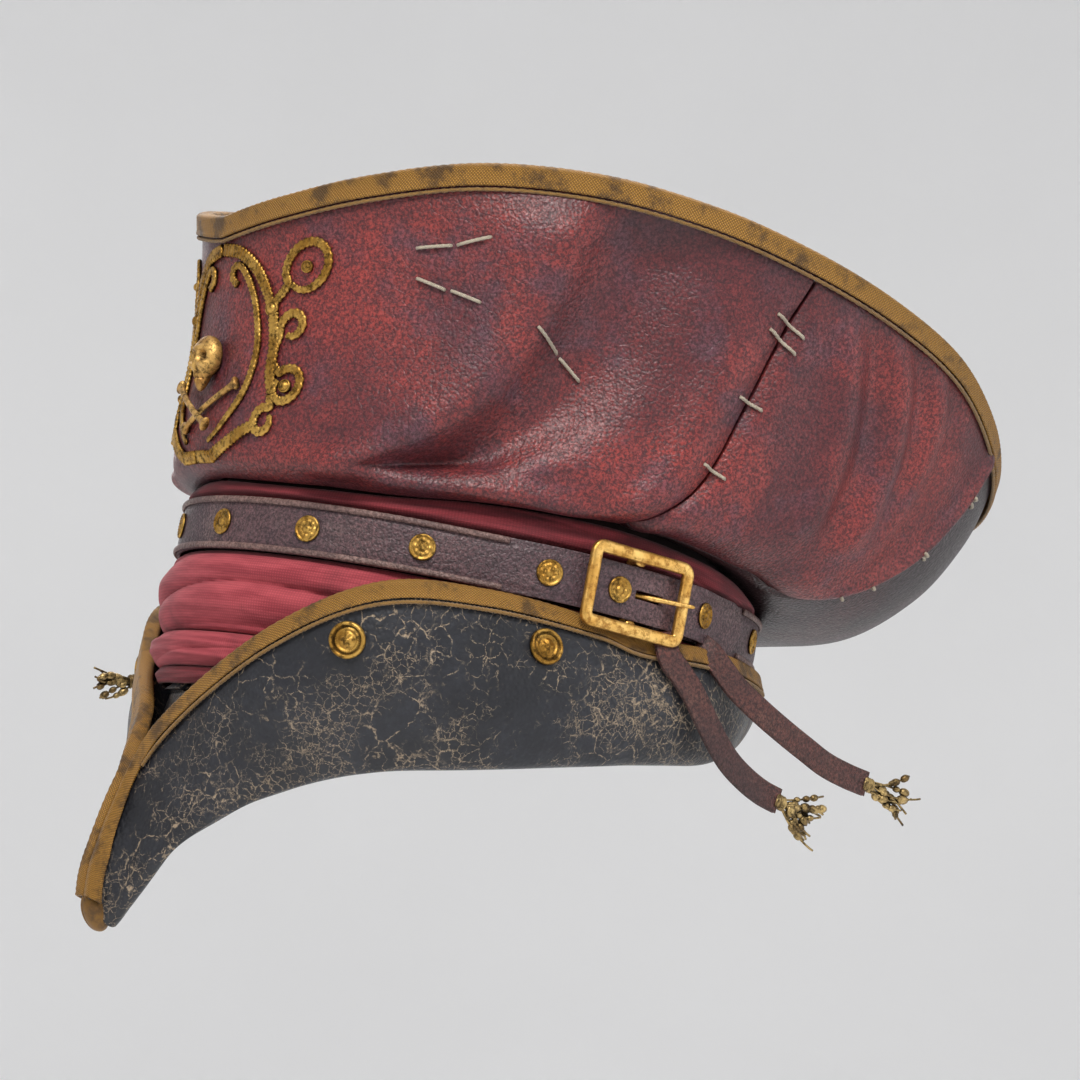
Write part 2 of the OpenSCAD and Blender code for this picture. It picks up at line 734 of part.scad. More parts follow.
// Point on the crown's front at e millimetres from the centreline and height h
function emblem_pt(e, h, out) = crown_at(front_k(h), 180 + e / 118 * 180 / PI, out);
function emblem_n(e, h) = crown_normal(front_k(h), 180 + e / 118 * 180 / PI);
module emblem_band(path, w, t, steps, base = 0.15) {
    run = spline_run(path, steps);
    strap_tube([for (q = run) emblem_pt(q[0], q[1], t / 2 + base)], [for (q = run) emblem_n(q[0], q[1])], w, t, 6);
}
// Bands of one half of the pointed frame: [distance from the centreline, height]
FRAME_ARCH = [[2.5, 160], [12, 157], [20, 150], [26, 141.5]];
FRAME_SIDE = [[31.5, 131], [32.5, 122], [34, 113.5]];
FRAME_VEE = [[2.5, 82.5], [10, 85], [19, 88.5], [27, 93]];
FRAME_INNER = [[4, 151], [15, 145], [22, 135], [25.5, 121], [24, 106], [15, 95]];
module emblem_frame() {
    color("#c29a48")
    for (side = [-1, 1], band = [FRAME_ARCH, FRAME_SIDE, FRAME_VEE, FRAME_INNER])
        emblem_band([for (q = band) [side * q[0], q[1]]], 4, 2.2, 8);
}
// Spiral of one scroll: centre, start radius, end radius, start angle, turn
function scroll(c, r0, r1, a0, turn) = [
    for (i = [0:12])
        c + (r0 + (r1 - r0) * i / 12) * [cos(a0 + turn * i / 12), sin(a0 + turn * i / 12)]
];
SCROLLS = [
    [[42, 148], 8.4, 7.6, 215, -330],
    [[40, 129.5], 4.8, 3.4, 195, -290],
    [[42.5, 109], 6.2, 5, 130, 300],
    [[37, 96], 4.6, 3.4, 60, 250]
];
module emblem_scrolls() {
    color("#c29a48")
    for (side = [-1, 1], s = SCROLLS)
        emblem_band([for (q = scroll(s[0], s[1], s[2], s[3], s[4])) [side * q[0], q[1]]], 2.8, 2, 12);
}
// Domed bosses: distance from the centreline, height, radius
BOSSES = [[29.5, 136, 2.4], [42, 148, 2], [42.5, 109, 2.2]];
module emblem_bosses() {
    color("#d4b060")
    for (side = [-1, 1], b = BOSSES)
        let (n = emblem_n(side * b[0], b[1]))
        translate(emblem_pt(side * b[0], b[1], 0.4))
            rotate([0, acos(n[2]), atan2(n[1], n[0])])
                cylinder(h = 2.4, r1 = b[2], r2 = b[2] * 0.6, $fn = 24);
}
skull_h = 121;
module emblem_skull() {
    color("#d9bc78")
    translate(emblem_pt(0, skull_h, 0)) {
        translate([-4.6, 0, 0]) resize([8, 17, 15]) sphere(d = 10, $fn = 16);
        translate([-4.2, 0, -8]) resize([6.5, 10, 8]) sphere(d = 6, $fn = 14);
    }
}
// Half lengths of a crossed bone above and below the crossing, and its slope
bone_up = 20;
bone_down = 11;
bone_rise = 0.5;
bone_cross_h = 101;
module emblem_crossbones() {
    color("#d9bc78")
    for (side = [-1, 1])
        let (out = side > 0 ? 1.6 : 4.2, run = steps_between(-bone_down, bone_up, 4))
        strap_tube(
            [for (q = run) emblem_pt(q * side, bone_cross_h + q * bone_rise, out)],
            [for (q = run) emblem_n(0, bone_cross_h)], 2.8, 2, 8
        );
}

// ---- Ties ----
// Routes of the leather ties, from where they leave the brim to their knots
TIE_LEFT_FRONT = [
    [25, -103, 43], [31, -104, 39], [37, -105, 33], [43, -105.5, 26], [50, -105, 19],
    [58, -103.5, 13], [68, -101, 8.5], [78, -98.5, 5.5], [87, -96.5, 4]
];
TIE_LEFT_REAR = [
    [53, -95.5, 44.5], [60, -96, 41], [67, -96.5, 37], [76, -96, 33], [87, -94.5, 29],
    [98, -92.5, 25.5], [110, -90, 22], [122, -88, 20], [133, -86, 19]
];
TIE_RIGHT = [
    [-38, 107.8, 31.5], [-42, 108.6, 28], [-48, 109.4, 24], [-54, 110.3, 20.5], [-61, 111, 17],
    [-69, 111, 13.5], [-77, 110.5, 11]
];
module tie(route) {
    n = len(route) * 3;
    pts = spline_run(route, n);
    out = unit([0, route[0][1], 0]);
    strap_tube(pts, [for (p = pts) out], tie_w * 1.08, tie_t * 1.08, 8);
}
module tie_left_front() {
    color("#5f3b39") tie(TIE_LEFT_FRONT);
}
module tie_left_rear() {
    color("#5f3b39") tie(TIE_LEFT_REAR);
}
module tie_right() {
    color("#5f3b39") tie(TIE_RIGHT);
}
// Beaded fringe tied to the end of a tie, running on along its last stretch
module fringe(route, len_f) {
    n = len(route) - 1;
    d = unit(route[n] - route[n - 1]);
    p = route[n] + d * 0.4;
    out = unit([0, route[0][1], 0]);
    pts = [for (f = [0, 0.25, 0.6, 1]) p + d * len_f * f];
    widths = [5, 8, 10, 7];
    side = unit(cross(d, out));
    up = unit(cross(side, d));
    skin([
        for (i = [0:3])
            [
                for (k = [0:7])
                    pts[i] + side * cos(22.5 + 45 * k) * widths[i] / 2
                        + up * sin(22.5 + 45 * k) * (widths[i] / 2 - 1.2)
            ]
    ]);
}
module fringe_left_front() {
    color("#a5854a") fringe(TIE_LEFT_FRONT, 26);
}
module fringe_left_rear() {
    color("#a5854a") fringe(TIE_LEFT_REAR, 28);
}
module fringe_right() {
    color("#a5854a") fringe(TIE_RIGHT, 18);
}

foundation_cap();
sweatband();
crown_front_panel();
crown_back_left();
crown_back_right();
crown_rear_gusset();
crown_top_panel();
crown_rim_braid();
crown_rim_piping();
side_seam_stitches_left();
side_seam_stitches_right();
gusset_stitches_left();
gusset_stitches_right();
crown_darning_stitches();
bandana_upper_wrap();
bandana_main_wrap();
bandana_lower_fold();
bandana_under_fold();
belt_strap();
belt_chape();
belt_edge_welts();
belt_studs();
buckle_frame();
buckle_prong();
brim_left();
brim_right();
brim_braid_left();
brim_braid_right();
brim_piping_left();
brim_piping_right();
brim_buttons_left();
brim_buttons_right();
emblem_frame();
emblem_scrolls();
emblem_bosses();
emblem_skull();
emblem_crossbones();
tie_left_front();
tie_left_rear();
tie_right();
fringe_left_front();
fringe_left_rear();
fringe_right();
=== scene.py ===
import math

import bmesh
import bpy
import numpy as np
from mathutils import Matrix, Vector


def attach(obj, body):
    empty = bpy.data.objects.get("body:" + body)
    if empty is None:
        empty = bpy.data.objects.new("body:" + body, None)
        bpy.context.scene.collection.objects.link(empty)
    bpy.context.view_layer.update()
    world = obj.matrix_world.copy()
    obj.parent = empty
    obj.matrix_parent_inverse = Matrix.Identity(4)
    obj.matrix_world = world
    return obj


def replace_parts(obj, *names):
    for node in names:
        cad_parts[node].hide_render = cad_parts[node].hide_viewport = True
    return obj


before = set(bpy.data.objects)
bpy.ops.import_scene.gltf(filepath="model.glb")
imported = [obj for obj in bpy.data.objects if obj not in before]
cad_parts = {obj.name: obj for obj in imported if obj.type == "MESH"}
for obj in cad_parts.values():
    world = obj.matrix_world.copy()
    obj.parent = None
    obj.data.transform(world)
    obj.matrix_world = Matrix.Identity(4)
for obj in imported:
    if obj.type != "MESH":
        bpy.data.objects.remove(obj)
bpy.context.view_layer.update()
HAT = "hat"
MM = 0.001                # the shapes below are worked out in millimetres

# ---- Camera ----
# The view's turn round the hat, its rise and its roll, and the distance to the hat's middle
VIEW_AZ, VIEW_EL, VIEW_ROLL = math.radians(-31), math.radians(-8), math.radians(10.7)
VIEW_DISTANCE = 1.3
VIEW_AIM = Vector((0, 0, 0.062))
VIEW_SHIFT = (0.02604, 0.02075)
VIEW_WIDTH = 0.4075       # what the frame spans at the hat's distance


def make_camera():
    right = Vector((math.cos(VIEW_AZ), math.sin(VIEW_AZ), 0))
    back = Vector((
        math.sin(VIEW_AZ) * math.cos(VIEW_EL),
        -math.cos(VIEW_AZ) * math.cos(VIEW_EL),
        math.sin(VIEW_EL),
    ))
    up = back.cross(right)
    across = right * math.cos(VIEW_ROLL) + up * math.sin(VIEW_ROLL)
    above = up * math.cos(VIEW_ROLL) - right * math.sin(VIEW_ROLL)
    data = bpy.data.cameras.new("camera")
    data.sensor_width = 36
    data.lens = 36 * VIEW_DISTANCE / VIEW_WIDTH
    camera = bpy.data.objects.new("camera", data)
    place = VIEW_AIM + across * VIEW_SHIFT[0] + above * VIEW_SHIFT[1] + back * VIEW_DISTANCE
    turn = Matrix((across, above, back)).transposed().to_4x4()
    camera.matrix_world = Matrix.Translation(place) @ turn
    bpy.context.scene.collection.objects.link(camera)
    bpy.context.scene.camera = camera


make_camera()


# ---- Small helpers ----
def smooth(f):
    g = np.clip(f, 0, 1)
    return g * g * (3 - 2 * g)


def bell(x, width):
    return np.exp(-((x / width) ** 2))


def unit(v):
    return v / np.maximum(np.linalg.norm(v, axis=-1, keepdims=True), 1e-9)


def spline(points, u):
    """The smooth curve through the points, at parameters u from 0 to their count less one."""
    p = np.asarray(points, float)
    u = np.asarray(u, float)
    n = len(p) - 1
    k = np.clip(np.floor(u), 0, n - 1).astype(int)
    f = (u - k)[..., None] if p.ndim > 1 else u - k
    a, b, c, d = (p[np.clip(k + i, 0, n)] for i in (-1, 0, 1, 2))
    cubic = (3 * b - a - 3 * c + d) * f**3
    return 0.5 * (2 * b + (c - a) * f + (2 * a - 5 * b + 4 * c - d) * f * f + cubic)


def even_run(points, step):
    """Points a step apart along the smooth curve through the given ones."""
    fine = spline(points, np.linspace(0, len(points) - 1, 40 * len(points)))
    along = np.concatenate([[0], np.cumsum(np.linalg.norm(np.diff(fine, axis=0), axis=1))])
    count = max(3, int(round(along[-1] / step)) + 1)
    where = np.linspace(0, along[-1], count)
    return np.stack([np.interp(where, along, fine[:, i]) for i in range(fine.shape[1])], 1)


def ripple(*coords, seed=0, waves=5, low=0.6, high=1.6):
    """Smooth, repeatable unevenness from -1 to 1: a few crossing waves of the given coordinates."""
    pick = np.random.default_rng(seed)
    total = 0.0
    for _ in range(waves):
        phase = pick.uniform(0, 2 * math.pi)
        for c in coords:
            phase = phase + c * pick.uniform(low, high) * pick.choice([-1, 1])
        total = total + np.sin(phase)
    return total / waves


def new_object(name, verts, faces, material, uvs=None, body=HAT, smooth_faces=True):
    """Makes a mesh piece from points in millimetres and rides it on its body."""
    mesh = bpy.data.meshes.new(name)
    mesh.from_pydata((np.asarray(verts, float) * MM).tolist(), [], [list(f) for f in faces])
    if uvs is not None:
        layer = mesh.uv_layers.new(name="UVMap")
        loops = np.empty(len(mesh.loops), np.int32)
        mesh.loops.foreach_get("vertex_index", loops)
        layer.data.foreach_set("uv", (np.asarray(uvs, float)[loops] * MM).astype(np.float32).ravel())
    mesh.validate()
    mesh.polygons.foreach_set("use_smooth", [smooth_faces] * len(mesh.polygons))
    mesh.materials.append(material)
    weld = bmesh.new()
    weld.from_mesh(mesh)
    bmesh.ops.remove_doubles(weld, verts=weld.verts, dist=1e-6)
    weld.to_mesh(mesh)
    weld.free()
    piece = bpy.data.objects.new(name, mesh)
    bpy.context.scene.collection.objects.link(piece)
    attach(piece, body)
    return piece


def fix_facing(verts, faces):
    """The faces, turned over if they enclose a negative volume."""
    v = np.asarray(verts, float)
    volume = 0.0
    for size in (3, 4):
        group = np.array([f for f in faces if len(f) == size], int).reshape(-1, size)
        for i in range(1, size - 1):
            turn = np.cross(v[group[:, i]], v[group[:, i + 1]])
            volume += float((v[group[:, 0]] * turn).sum())
    return [tuple(reversed(f)) for f in faces] if volume < 0 else faces


class Builder:
    """Collects closed shells and tubes, then makes one piece of them."""

    def __init__(self):
        self.verts, self.faces, self.uvs, self.count = [], [], [], 0

    def add(self, verts, faces, uvs=None):
        verts = np.asarray(verts, float)
        faces = fix_facing(verts, faces)
        self.verts.append(verts)
        self.uvs.append(np.zeros((len(verts), 2)) if uvs is None else np.asarray(uvs, float))
        self.faces += [tuple(i + self.count for i in f) for f in faces]
        self.count += len(verts)

    def loops(self, rings, closed=False, uvs=None, caps=True):
        """A skin through rings of points; each ring is a closed loop."""
        rings = np.asarray(rings, float)
        n, m = rings.shape[:2]
        faces = []
        for i in range(n if closed else n - 1):
            a, b = i * m, ((i + 1) % n) * m
            faces += [(a + j, a + (j + 1) % m, b + (j + 1) % m, b + j) for j in range(m)]
        verts = rings.reshape(-1, 3)
        if caps and not closed:
            ends = np.stack([rings[0].mean(0), rings[-1].mean(0)])
            first, last = len(verts), len(verts) + 1
            verts = np.concatenate([verts, ends])
            faces += [((j + 1) % m, j, first) for j in range(m)]
            o = (n - 1) * m
            faces += [(o + j, o + (j + 1) % m, last) for j in range(m)]
            if uvs is not None:
                uvs = np.concatenate([np.reshape(uvs, (-1, 2)), np.zeros((2, 2))])
        self.add(verts, faces, None if uvs is None else np.reshape(uvs, (-1, 2)))

    def shell(self, outer, inner, closed=False, uvs=None):
        """A closed shell between two grids of points, wrapped round in its first direction if closed."""
        n, m = outer.shape[:2]
        verts = np.concatenate([outer.reshape(-1, 3), inner.reshape(-1, 3)])
        size = n * m
        faces = []
        for i in range(n if closed else n - 1):
            r, q = i * m, ((i + 1) % n) * m
            for j in range(m - 1):
                faces.append((r + j, r + j + 1, q + j + 1, q + j))
                faces.append((size + r + j, size + q + j, size + q + j + 1, size + r + j + 1))
            faces.append((r, q, size + q, size + r))
            e, g = r + m - 1, q + m - 1
            faces.append((e, size + e, size + g, g))
        if not closed:
            o = (n - 1) * m
            for j in range(m - 1):
                faces.append((j + 1, j, size + j, size + j + 1))
                faces.append((o + j, o + j + 1, size + o + j + 1, size + o + j))
        flat = None if uvs is None else np.concatenate([uvs.reshape(-1, 2)] * 2)
        self.add(verts, faces, flat)

    def tube(self, path, radius, normals, squash=1.0, sides=8, closed=False, shape=None):
        """A tube along a path. shape(i, angle) scales the radius; squash flattens it along the normals."""
        path = np.asarray(path, float)
        n = len(path)
        if closed:
            ahead = np.roll(path, -1, 0) - np.roll(path, 1, 0)
        else:
            ahead = np.gradient(path, axis=0)
        side = unit(np.cross(ahead, normals))
        up = unit(np.cross(side, ahead))
        angle = (np.arange(sides) + 0.5) * 2 * math.pi / sides
        r = np.broadcast_to(np.asarray(radius, float), (n,))[:, None]
        if shape is not None:
            r = r * shape(np.arange(n)[:, None], angle[None, :])
        ring = path[:, None] + side[:, None] * (r * np.cos(angle))[..., None]
        ring = ring + up[:, None] * (r * squash * np.sin(angle))[..., None]
        step = np.linalg.norm(np.diff(path, axis=0), axis=1)
        along = np.concatenate([[0], np.cumsum(step)])
        uvs = np.stack(np.broadcast_arrays(along[:, None], angle[None, :] * 2), -1)
        self.loops(ring, closed, uvs)

    def lathe(self, place, normal, up, profile, sides=32, wave=None):
        """A turned piece: profile is a list of [radius, height]; wave(radius, height, angle) adds height."""
        n = unit(np.asarray(normal, float))
        x = unit(np.cross(np.asarray(up, float), n))
        y = np.cross(n, x)
        angle = np.arange(sides) * 2 * math.pi / sides
        rings = []
        for radius, height in profile:
            h = height + (wave(radius, height, angle) if wave else 0 * angle)
            spoke = x * np.cos(angle)[:, None] + y * np.sin(angle)[:, None]
            rings.append(place + spoke * radius + n * h[:, None])
        self.loops(np.array(rings))

    def make(self, name, material, slot, body=HAT, smooth_faces=True):
        return new_object(
            name, np.concatenate(self.verts), self.faces, material,
            np.concatenate(self.uvs), body, smooth_faces,
        )


def soften_edges(piece, width, segments=2, angle=40):
    """Rounds a piece's sharp edges."""
    bevel = piece.modifiers.new("edges", "BEVEL")
    bevel.width = width * MM
    bevel.segments = segments
    bevel.limit_method = "ANGLE"
    bevel.angle_limit = math.radians(angle)
    bevel.use_clamp_overlap = True
    return piece


# ---- Materials ----
# Each maker gives a node material; colours are linear
class Nodes:
    """A short way to add and join shader nodes in one material."""

    def __init__(self, name):
        self.material = bpy.data.materials.new(name)
        self.material.use_nodes = True
        self.tree = self.material.node_tree
        self.shader = self.tree.nodes["Principled BSDF"]
        self.shader.inputs["Specular IOR Level"].default_value = 0.45
        self.point = self.add("ShaderNodeTexCoord").outputs["Object"]
        self.uv = self.add("ShaderNodeUVMap").outputs["UV"]

    def add(self, kind, **values):
        node = self.tree.nodes.new(kind)
        for key, value in values.items():
            setattr(node, key, value)
        return node

    def link(self, source, target):
        self.tree.links.new(source, target)

    def noise(self, scale, detail=6.0, rough=0.55, warp=0.0, at=None):
        node = self.add("ShaderNodeTexNoise")
        node.inputs["Scale"].default_value = scale
        node.inputs["Detail"].default_value = detail
        node.inputs["Roughness"].default_value = rough
        node.inputs["Distortion"].default_value = warp
        self.link(at or self.point, node.inputs["Vector"])
        return node.outputs["Fac"]

    def cells(self, scale, feature="F1", at=None):
        node = self.add("ShaderNodeTexVoronoi", feature=feature)
        node.inputs["Scale"].default_value = scale
        self.link(at or self.point, node.inputs["Vector"])
        return node.outputs["Distance"]

    def stretched(self, x, y, z, at=None):
        node = self.add("ShaderNodeMapping")
        node.inputs["Scale"].default_value = (x, y, z)
        self.link(at or self.point, node.inputs["Vector"])
        return node.outputs["Vector"]

    def shifted(self, scale, amount):
        """The point moved about by a noise, so that lines wander."""
        node = self.add("ShaderNodeTexNoise")
        node.inputs["Scale"].default_value = scale
        node.inputs["Detail"].default_value = 4
        self.link(self.point, node.inputs["Vector"])
        push = self.add("ShaderNodeVectorMath", operation="SCALE")
        push.inputs["Scale"].default_value = amount
        self.link(node.outputs["Color"], push.inputs[0])
        moved = self.add("ShaderNodeVectorMath", operation="ADD")
        self.link(self.point, moved.inputs[0])
        self.link(push.outputs[0], moved.inputs[1])
        return moved.outputs[0]

    def wave(self, scale, direction="X", at=None, warp=0.0):
        node = self.add("ShaderNodeTexWave", bands_direction=direction)
        node.inputs["Scale"].default_value = scale
        node.inputs["Distortion"].default_value = warp
        self.link(at or self.uv, node.inputs["Vector"])
        return node.outputs["Fac"]

    def steps(self, value, low, high, out_low=0.0, out_high=1.0):
        node = self.add("ShaderNodeMapRange", interpolation_type="SMOOTHSTEP")
        for key, number in zip(("From Min", "From Max", "To Min", "To Max"), (low, high, out_low, out_high)):
            node.inputs[key].default_value = number
        self.link(value, node.inputs["Value"])
        return node.outputs["Result"]

    def math(self, operation, a, b):
        node = self.add("ShaderNodeMath", operation=operation)
        for socket, value in zip(node.inputs, (a, b)):
            if isinstance(value, (int, float)):
                socket.default_value = value
            else:
                self.link(value, socket)
        return node.outputs[0]

    def mix(self, share, a, b, blend="MIX"):
        node = self.add("ShaderNodeMix", data_type="RGBA", blend_type=blend)
        for key, value in (("Factor", share), ("A", a), ("B", b)):
            socket = [s for s in node.inputs if s.name == key and s.enabled][0]
            if isinstance(value, (int, float)):
                socket.default_value = value
            elif isinstance(value, tuple):
                socket.default_value = (*value, 1)
            else:
                self.link(value, socket)
        return [s for s in node.outputs if s.enabled][0]

    def bump(self, height, depth, strength=1.0, under=None):
        node = self.add("ShaderNodeBump")
        node.inputs["Strength"].default_value = strength
        node.inputs["Distance"].default_value = depth * MM
        self.link(height, node.inputs["Height"])
        if under is not None:
            self.link(under, node.inputs["Normal"])
        return node.outputs["Normal"]

    def finish(self, colour, rough, normal=None, metal=0.0, sheen=0.0):
        self.link(colour, self.shader.inputs["Base Color"])
        if isinstance(rough, (int, float)):
            self.shader.inputs["Roughness"].default_value = rough
        else:
            self.link(rough, self.shader.inputs["Roughness"])
        if normal is not None:
            self.link(normal, self.shader.inputs["Normal"])
        self.shader.inputs["Metallic"].default_value = metal
        self.shader.inputs["Sheen Weight"].default_value = sheen
        return self.material


def srgb(r, g, b):
    """A linear colour from 0 to 255 display values."""
    return tuple(((c / 255 + 0.055) / 1.055) ** 2.4 if c > 10 else c / 255 / 12.92 for c in (r, g, b))


def grained_leather(name, deep, body, bright, bloom, rough=0.42, grain=900, painted_shade_at_edges=False):
    """Worn, pebbled leather: a speckled top colour over a deep one, with a greyish bloom in patches.

    Its last argument, when set, paints shade onto the crown's panels: the leather darkens towards their lower and
    their upper edge."""
    n = Nodes(name)
    speckle = n.noise(900, 9, 0.78)
    patch = n.noise(15, 4, 0.6, 0.5)
    worn = n.noise(34, 6, 0.7)
    rubbed = n.steps(patch, 0.40, 0.64)
    colour = n.mix(rubbed, body, bright)
    colour = n.mix(n.steps(worn, 0.50, 0.68, 0, 0.75), colour, bloom)
    colour = n.mix(n.steps(speckle, 0.42, 0.60, 0.85, 0), colour, deep)
    if painted_shade_at_edges:
        # Painted shade: darker towards the panels' lower and upper edges, patchy through a noise
        split = n.add("ShaderNodeSeparateXYZ")
        n.link(n.uv, split.inputs[0])
        low = n.steps(split.outputs[1], 0.012, 0.052, 0.9, 0)
        high = n.steps(split.outputs[1], 0.118, 0.142, 0, 0.6)
        shade_blotch = n.steps(n.noise(22, 5), 0.3, 0.6, 0.55, 1)
        colour = n.mix(n.math("MULTIPLY", n.math("MAXIMUM", low, high), shade_blotch), colour, deep)
    pebbles = n.cells(grain, "SMOOTH_F1")
    creases = n.cells(240, "DISTANCE_TO_EDGE", at=n.shifted(90, 0.006))
    crease_lines = n.steps(creases, 0.0, 0.09, 1, 0)
    colour = n.mix(n.math("MULTIPLY", crease_lines, 0.35), colour, deep)
    normal = n.bump(pebbles, 0.34, 0.85)
    normal = n.bump(crease_lines, -0.12, 0.5, normal)
    normal = n.bump(n.noise(45, 4), 1.6, 0.4, normal)
    shine = n.steps(speckle, 0.35, 0.7, rough + 0.14, rough - 0.08)
    return n.finish(colour, shine, normal)


# Each set of cracks: cell scale, wander, line width, patch scale and how much is left bare
CRACKS = (
    (38, 0.013, 0.020, 12, 0.50), (90, 0.008, 0.032, 18, 0.45), (170, 0.005, 0.050, 24, 0.46),
    (300, 0.003, 0.07, 30, 0.5),
)


def cracked_leather(name):
    """Near-black leather, its finish cracked into pale broken lines."""
    n = Nodes(name)
    base = n.mix(n.steps(n.noise(34, 7, 0.65), 0.3, 0.7), srgb(18, 19, 23), srgb(40, 42, 49))
    base = n.mix(n.steps(n.noise(420, 6, 0.7), 0.45, 0.62, 0.6, 0), base, srgb(22, 23, 29))
    lines = None
    for scale, wander, width, patches, cover in CRACKS:
        edge = n.steps(n.cells(scale, "DISTANCE_TO_EDGE", at=n.shifted(scale * 1.3, wander)), 0, width, 1, 0)
        broken = n.steps(n.noise(patches, 5, 0.7), cover, cover + 0.1)
        frayed = n.steps(n.noise(scale * 7, 4, 0.7), 0.42, 0.58)
        line = n.math("MULTIPLY", n.math("MULTIPLY", edge, broken), frayed)
        lines = line if lines is None else n.math("MAXIMUM", lines, line)
    scuffs = n.math("MULTIPLY", n.steps(n.noise(90, 9, 0.8), 0.58, 0.68), n.steps(n.noise(22, 3), 0.52, 0.62))
    base = n.mix(n.math("MULTIPLY", scuffs, 0.4), base, srgb(140, 126, 108))
    colour = n.mix(n.math("MULTIPLY", lines, 0.8), base, srgb(180, 158, 130))
    normal = n.bump(n.cells(700, "SMOOTH_F1"), 0.34, 0.9)
    normal = n.bump(lines, -0.25, 0.8, normal)
    normal = n.bump(n.noise(38, 5), 1.4, 0.35, normal)
    return n.finish(colour, n.steps(n.noise(60, 4), 0.35, 0.7, 0.52, 0.36), normal)


def woven_braid(name, dark, light):
    """Old gold braid with a fine slanting weave, rubbed and dirty in places."""
    n = Nodes(name)
    slant = n.add("ShaderNodeMapping")
    slant.inputs["Rotation"].default_value = (0, 0, math.radians(45))
    n.link(n.uv, slant.inputs["Vector"])
    one = n.wave(430, "X", slant.outputs[0])
    two = n.wave(430, "Y", slant.outputs[0])
    weave = n.math("MULTIPLY", one, two)
    dirt = n.noise(90, 7, 0.7)
    colour = n.mix(n.steps(weave, 0.0, 0.6, 0.25, 1), dark, light)
    colour = n.mix(n.steps(dirt, 0.46, 0.64, 0, 0.8), colour, srgb(62, 42, 20))
    normal = n.bump(weave, 0.35, 0.9)
    return n.finish(colour, 0.5, n.bump(dirt, 0.3, 0.4, normal), 0.2, 0.02)


def aged_metal(name, dirt_and_shade, body, bright, rough=0.36, metal=0.9, pits=700):
    """Cast metal, dark where dirt gathers, with painted shade in its hollows, and bright where it is rubbed."""
    n = Nodes(name)
    dirt = n.noise(430, 8, 0.75)
    patch = n.noise(90, 5, 0.6)
    colour = n.mix(n.steps(patch, 0.35, 0.65), body, bright)
    colour = n.mix(n.steps(dirt, 0.46, 0.62, 0, 0.8), colour, dirt_and_shade)
    # Painted shade: an ambient occlusion mask darkens the hollows towards the same dark colour
    hollow = n.add("ShaderNodeAmbientOcclusion", samples=6)
    hollow.inputs["Distance"].default_value = 2.2 * MM
    colour = n.mix(n.steps(hollow.outputs["AO"], 0.45, 0.92, 0.9, 0), colour, dirt_and_shade)
    normal = n.bump(n.noise(pits, 6, 0.7), 0.25, 0.6)
    normal = n.bump(n.cells(330, "SMOOTH_F1"), 0.2, 0.3, normal)
    return n.finish(colour, n.steps(dirt, 0.4, 0.7, rough, rough + 0.25), normal, metal)


def cloth(name, deep, body, bright, count=900, rough=0.85, sheen=0.08):
    """Plain woven cloth with faint slubs."""
    n = Nodes(name)
    warp = n.wave(count / 3.1, "X", n.stretched(1, 1, 1, n.uv), 0.4)
    weft = n.wave(count / 3.1, "Y", n.stretched(1, 1, 1, n.uv), 0.4)
    weave = n.math("MULTIPLY", warp, weft)
    slub = n.noise(1, 5, 0.6, at=n.stretched(40, 260, 1, n.uv))
    colour = n.mix(n.steps(slub, 0.35, 0.68), body, bright)
    colour = n.mix(n.steps(n.noise(35, 5), 0.52, 0.72, 0, 0.5), colour, deep)
    colour = n.mix(n.steps(weave, 0.02, 0.5, 0.3, 0), colour, deep)
    normal = n.bump(weave, 0.12, 0.6)
    normal = n.bump(slub, 0.3, 0.35, normal)
    return n.finish(colour, rough, normal, 0, sheen)


def thread(name, dark, light, scale=900):
    """Twisted thread or cord: slanting strands round a tube."""
    n = Nodes(name)
    strands = n.wave(scale, "DIAGONAL")
    colour = n.mix(n.steps(strands, 0.1, 0.8), dark, light)
    colour = n.mix(n.steps(n.noise(300, 5), 0.5, 0.7, 0, 0.5), colour, dark)
    return n.finish(colour, 0.6, n.bump(strands, 0.15, 0.8), 0, 0.2)


# The crown's leather carries painted shade towards its panels' lower and upper edges
crown_skin = grained_leather(
    "crown_leather", srgb(44, 20, 26), srgb(108, 44, 47), srgb(154, 60, 55), srgb(98, 66, 78), painted_shade_at_edges=True)
# The gusset's leather: the crown's red darkened to near black, painted shade for the shaded underside at the back
gusset_skin_in_painted_shade = grained_leather(
    "gusset_leather", srgb(15, 9, 12), srgb(42, 21, 25), srgb(72, 30, 31), srgb(54, 43, 47), 0.36)
top_skin = grained_leather(
    "crown_top_leather", srgb(38, 17, 22), srgb(88, 34, 39), srgb(118, 44, 46), srgb(80, 54, 64))
belt_skin = grained_leather(
    "belt_leather", srgb(38, 27, 31), srgb(84, 60, 66), srgb(108, 78, 80), srgb(122, 100, 98), 0.46, 1200)
welt_skin = grained_leather(
    "welt_leather", srgb(70, 50, 48), srgb(112, 86, 82), srgb(140, 110, 102), srgb(156, 132, 122), 0.5, 1400)
chape_skin = grained_leather(
    "chape_leather", srgb(36, 24, 28), srgb(72, 50, 56), srgb(90, 66, 68), srgb(110, 90, 84), 0.5, 1200)
tie_skin = grained_leather(
    "tie_leather", srgb(34, 20, 20), srgb(74, 44, 42), srgb(100, 56, 48), srgb(112, 78, 66), 0.5, 1500)
band_skin = grained_leather(
    "sweatband_leather", srgb(60, 36, 24), srgb(110, 70, 46), srgb(136, 92, 62), srgb(120, 92, 72), 0.5, 1100)
brim_skin = cracked_leather("brim_leather")
braid_gold = woven_braid("old_gold_braid", srgb(84, 56, 18), srgb(182, 132, 50))
cord_gold = thread("gold_cord", srgb(80, 54, 20), srgb(178, 132, 56), 1100)
linen = thread("linen_thread", srgb(150, 134, 112), srgb(226, 214, 190), 1400)
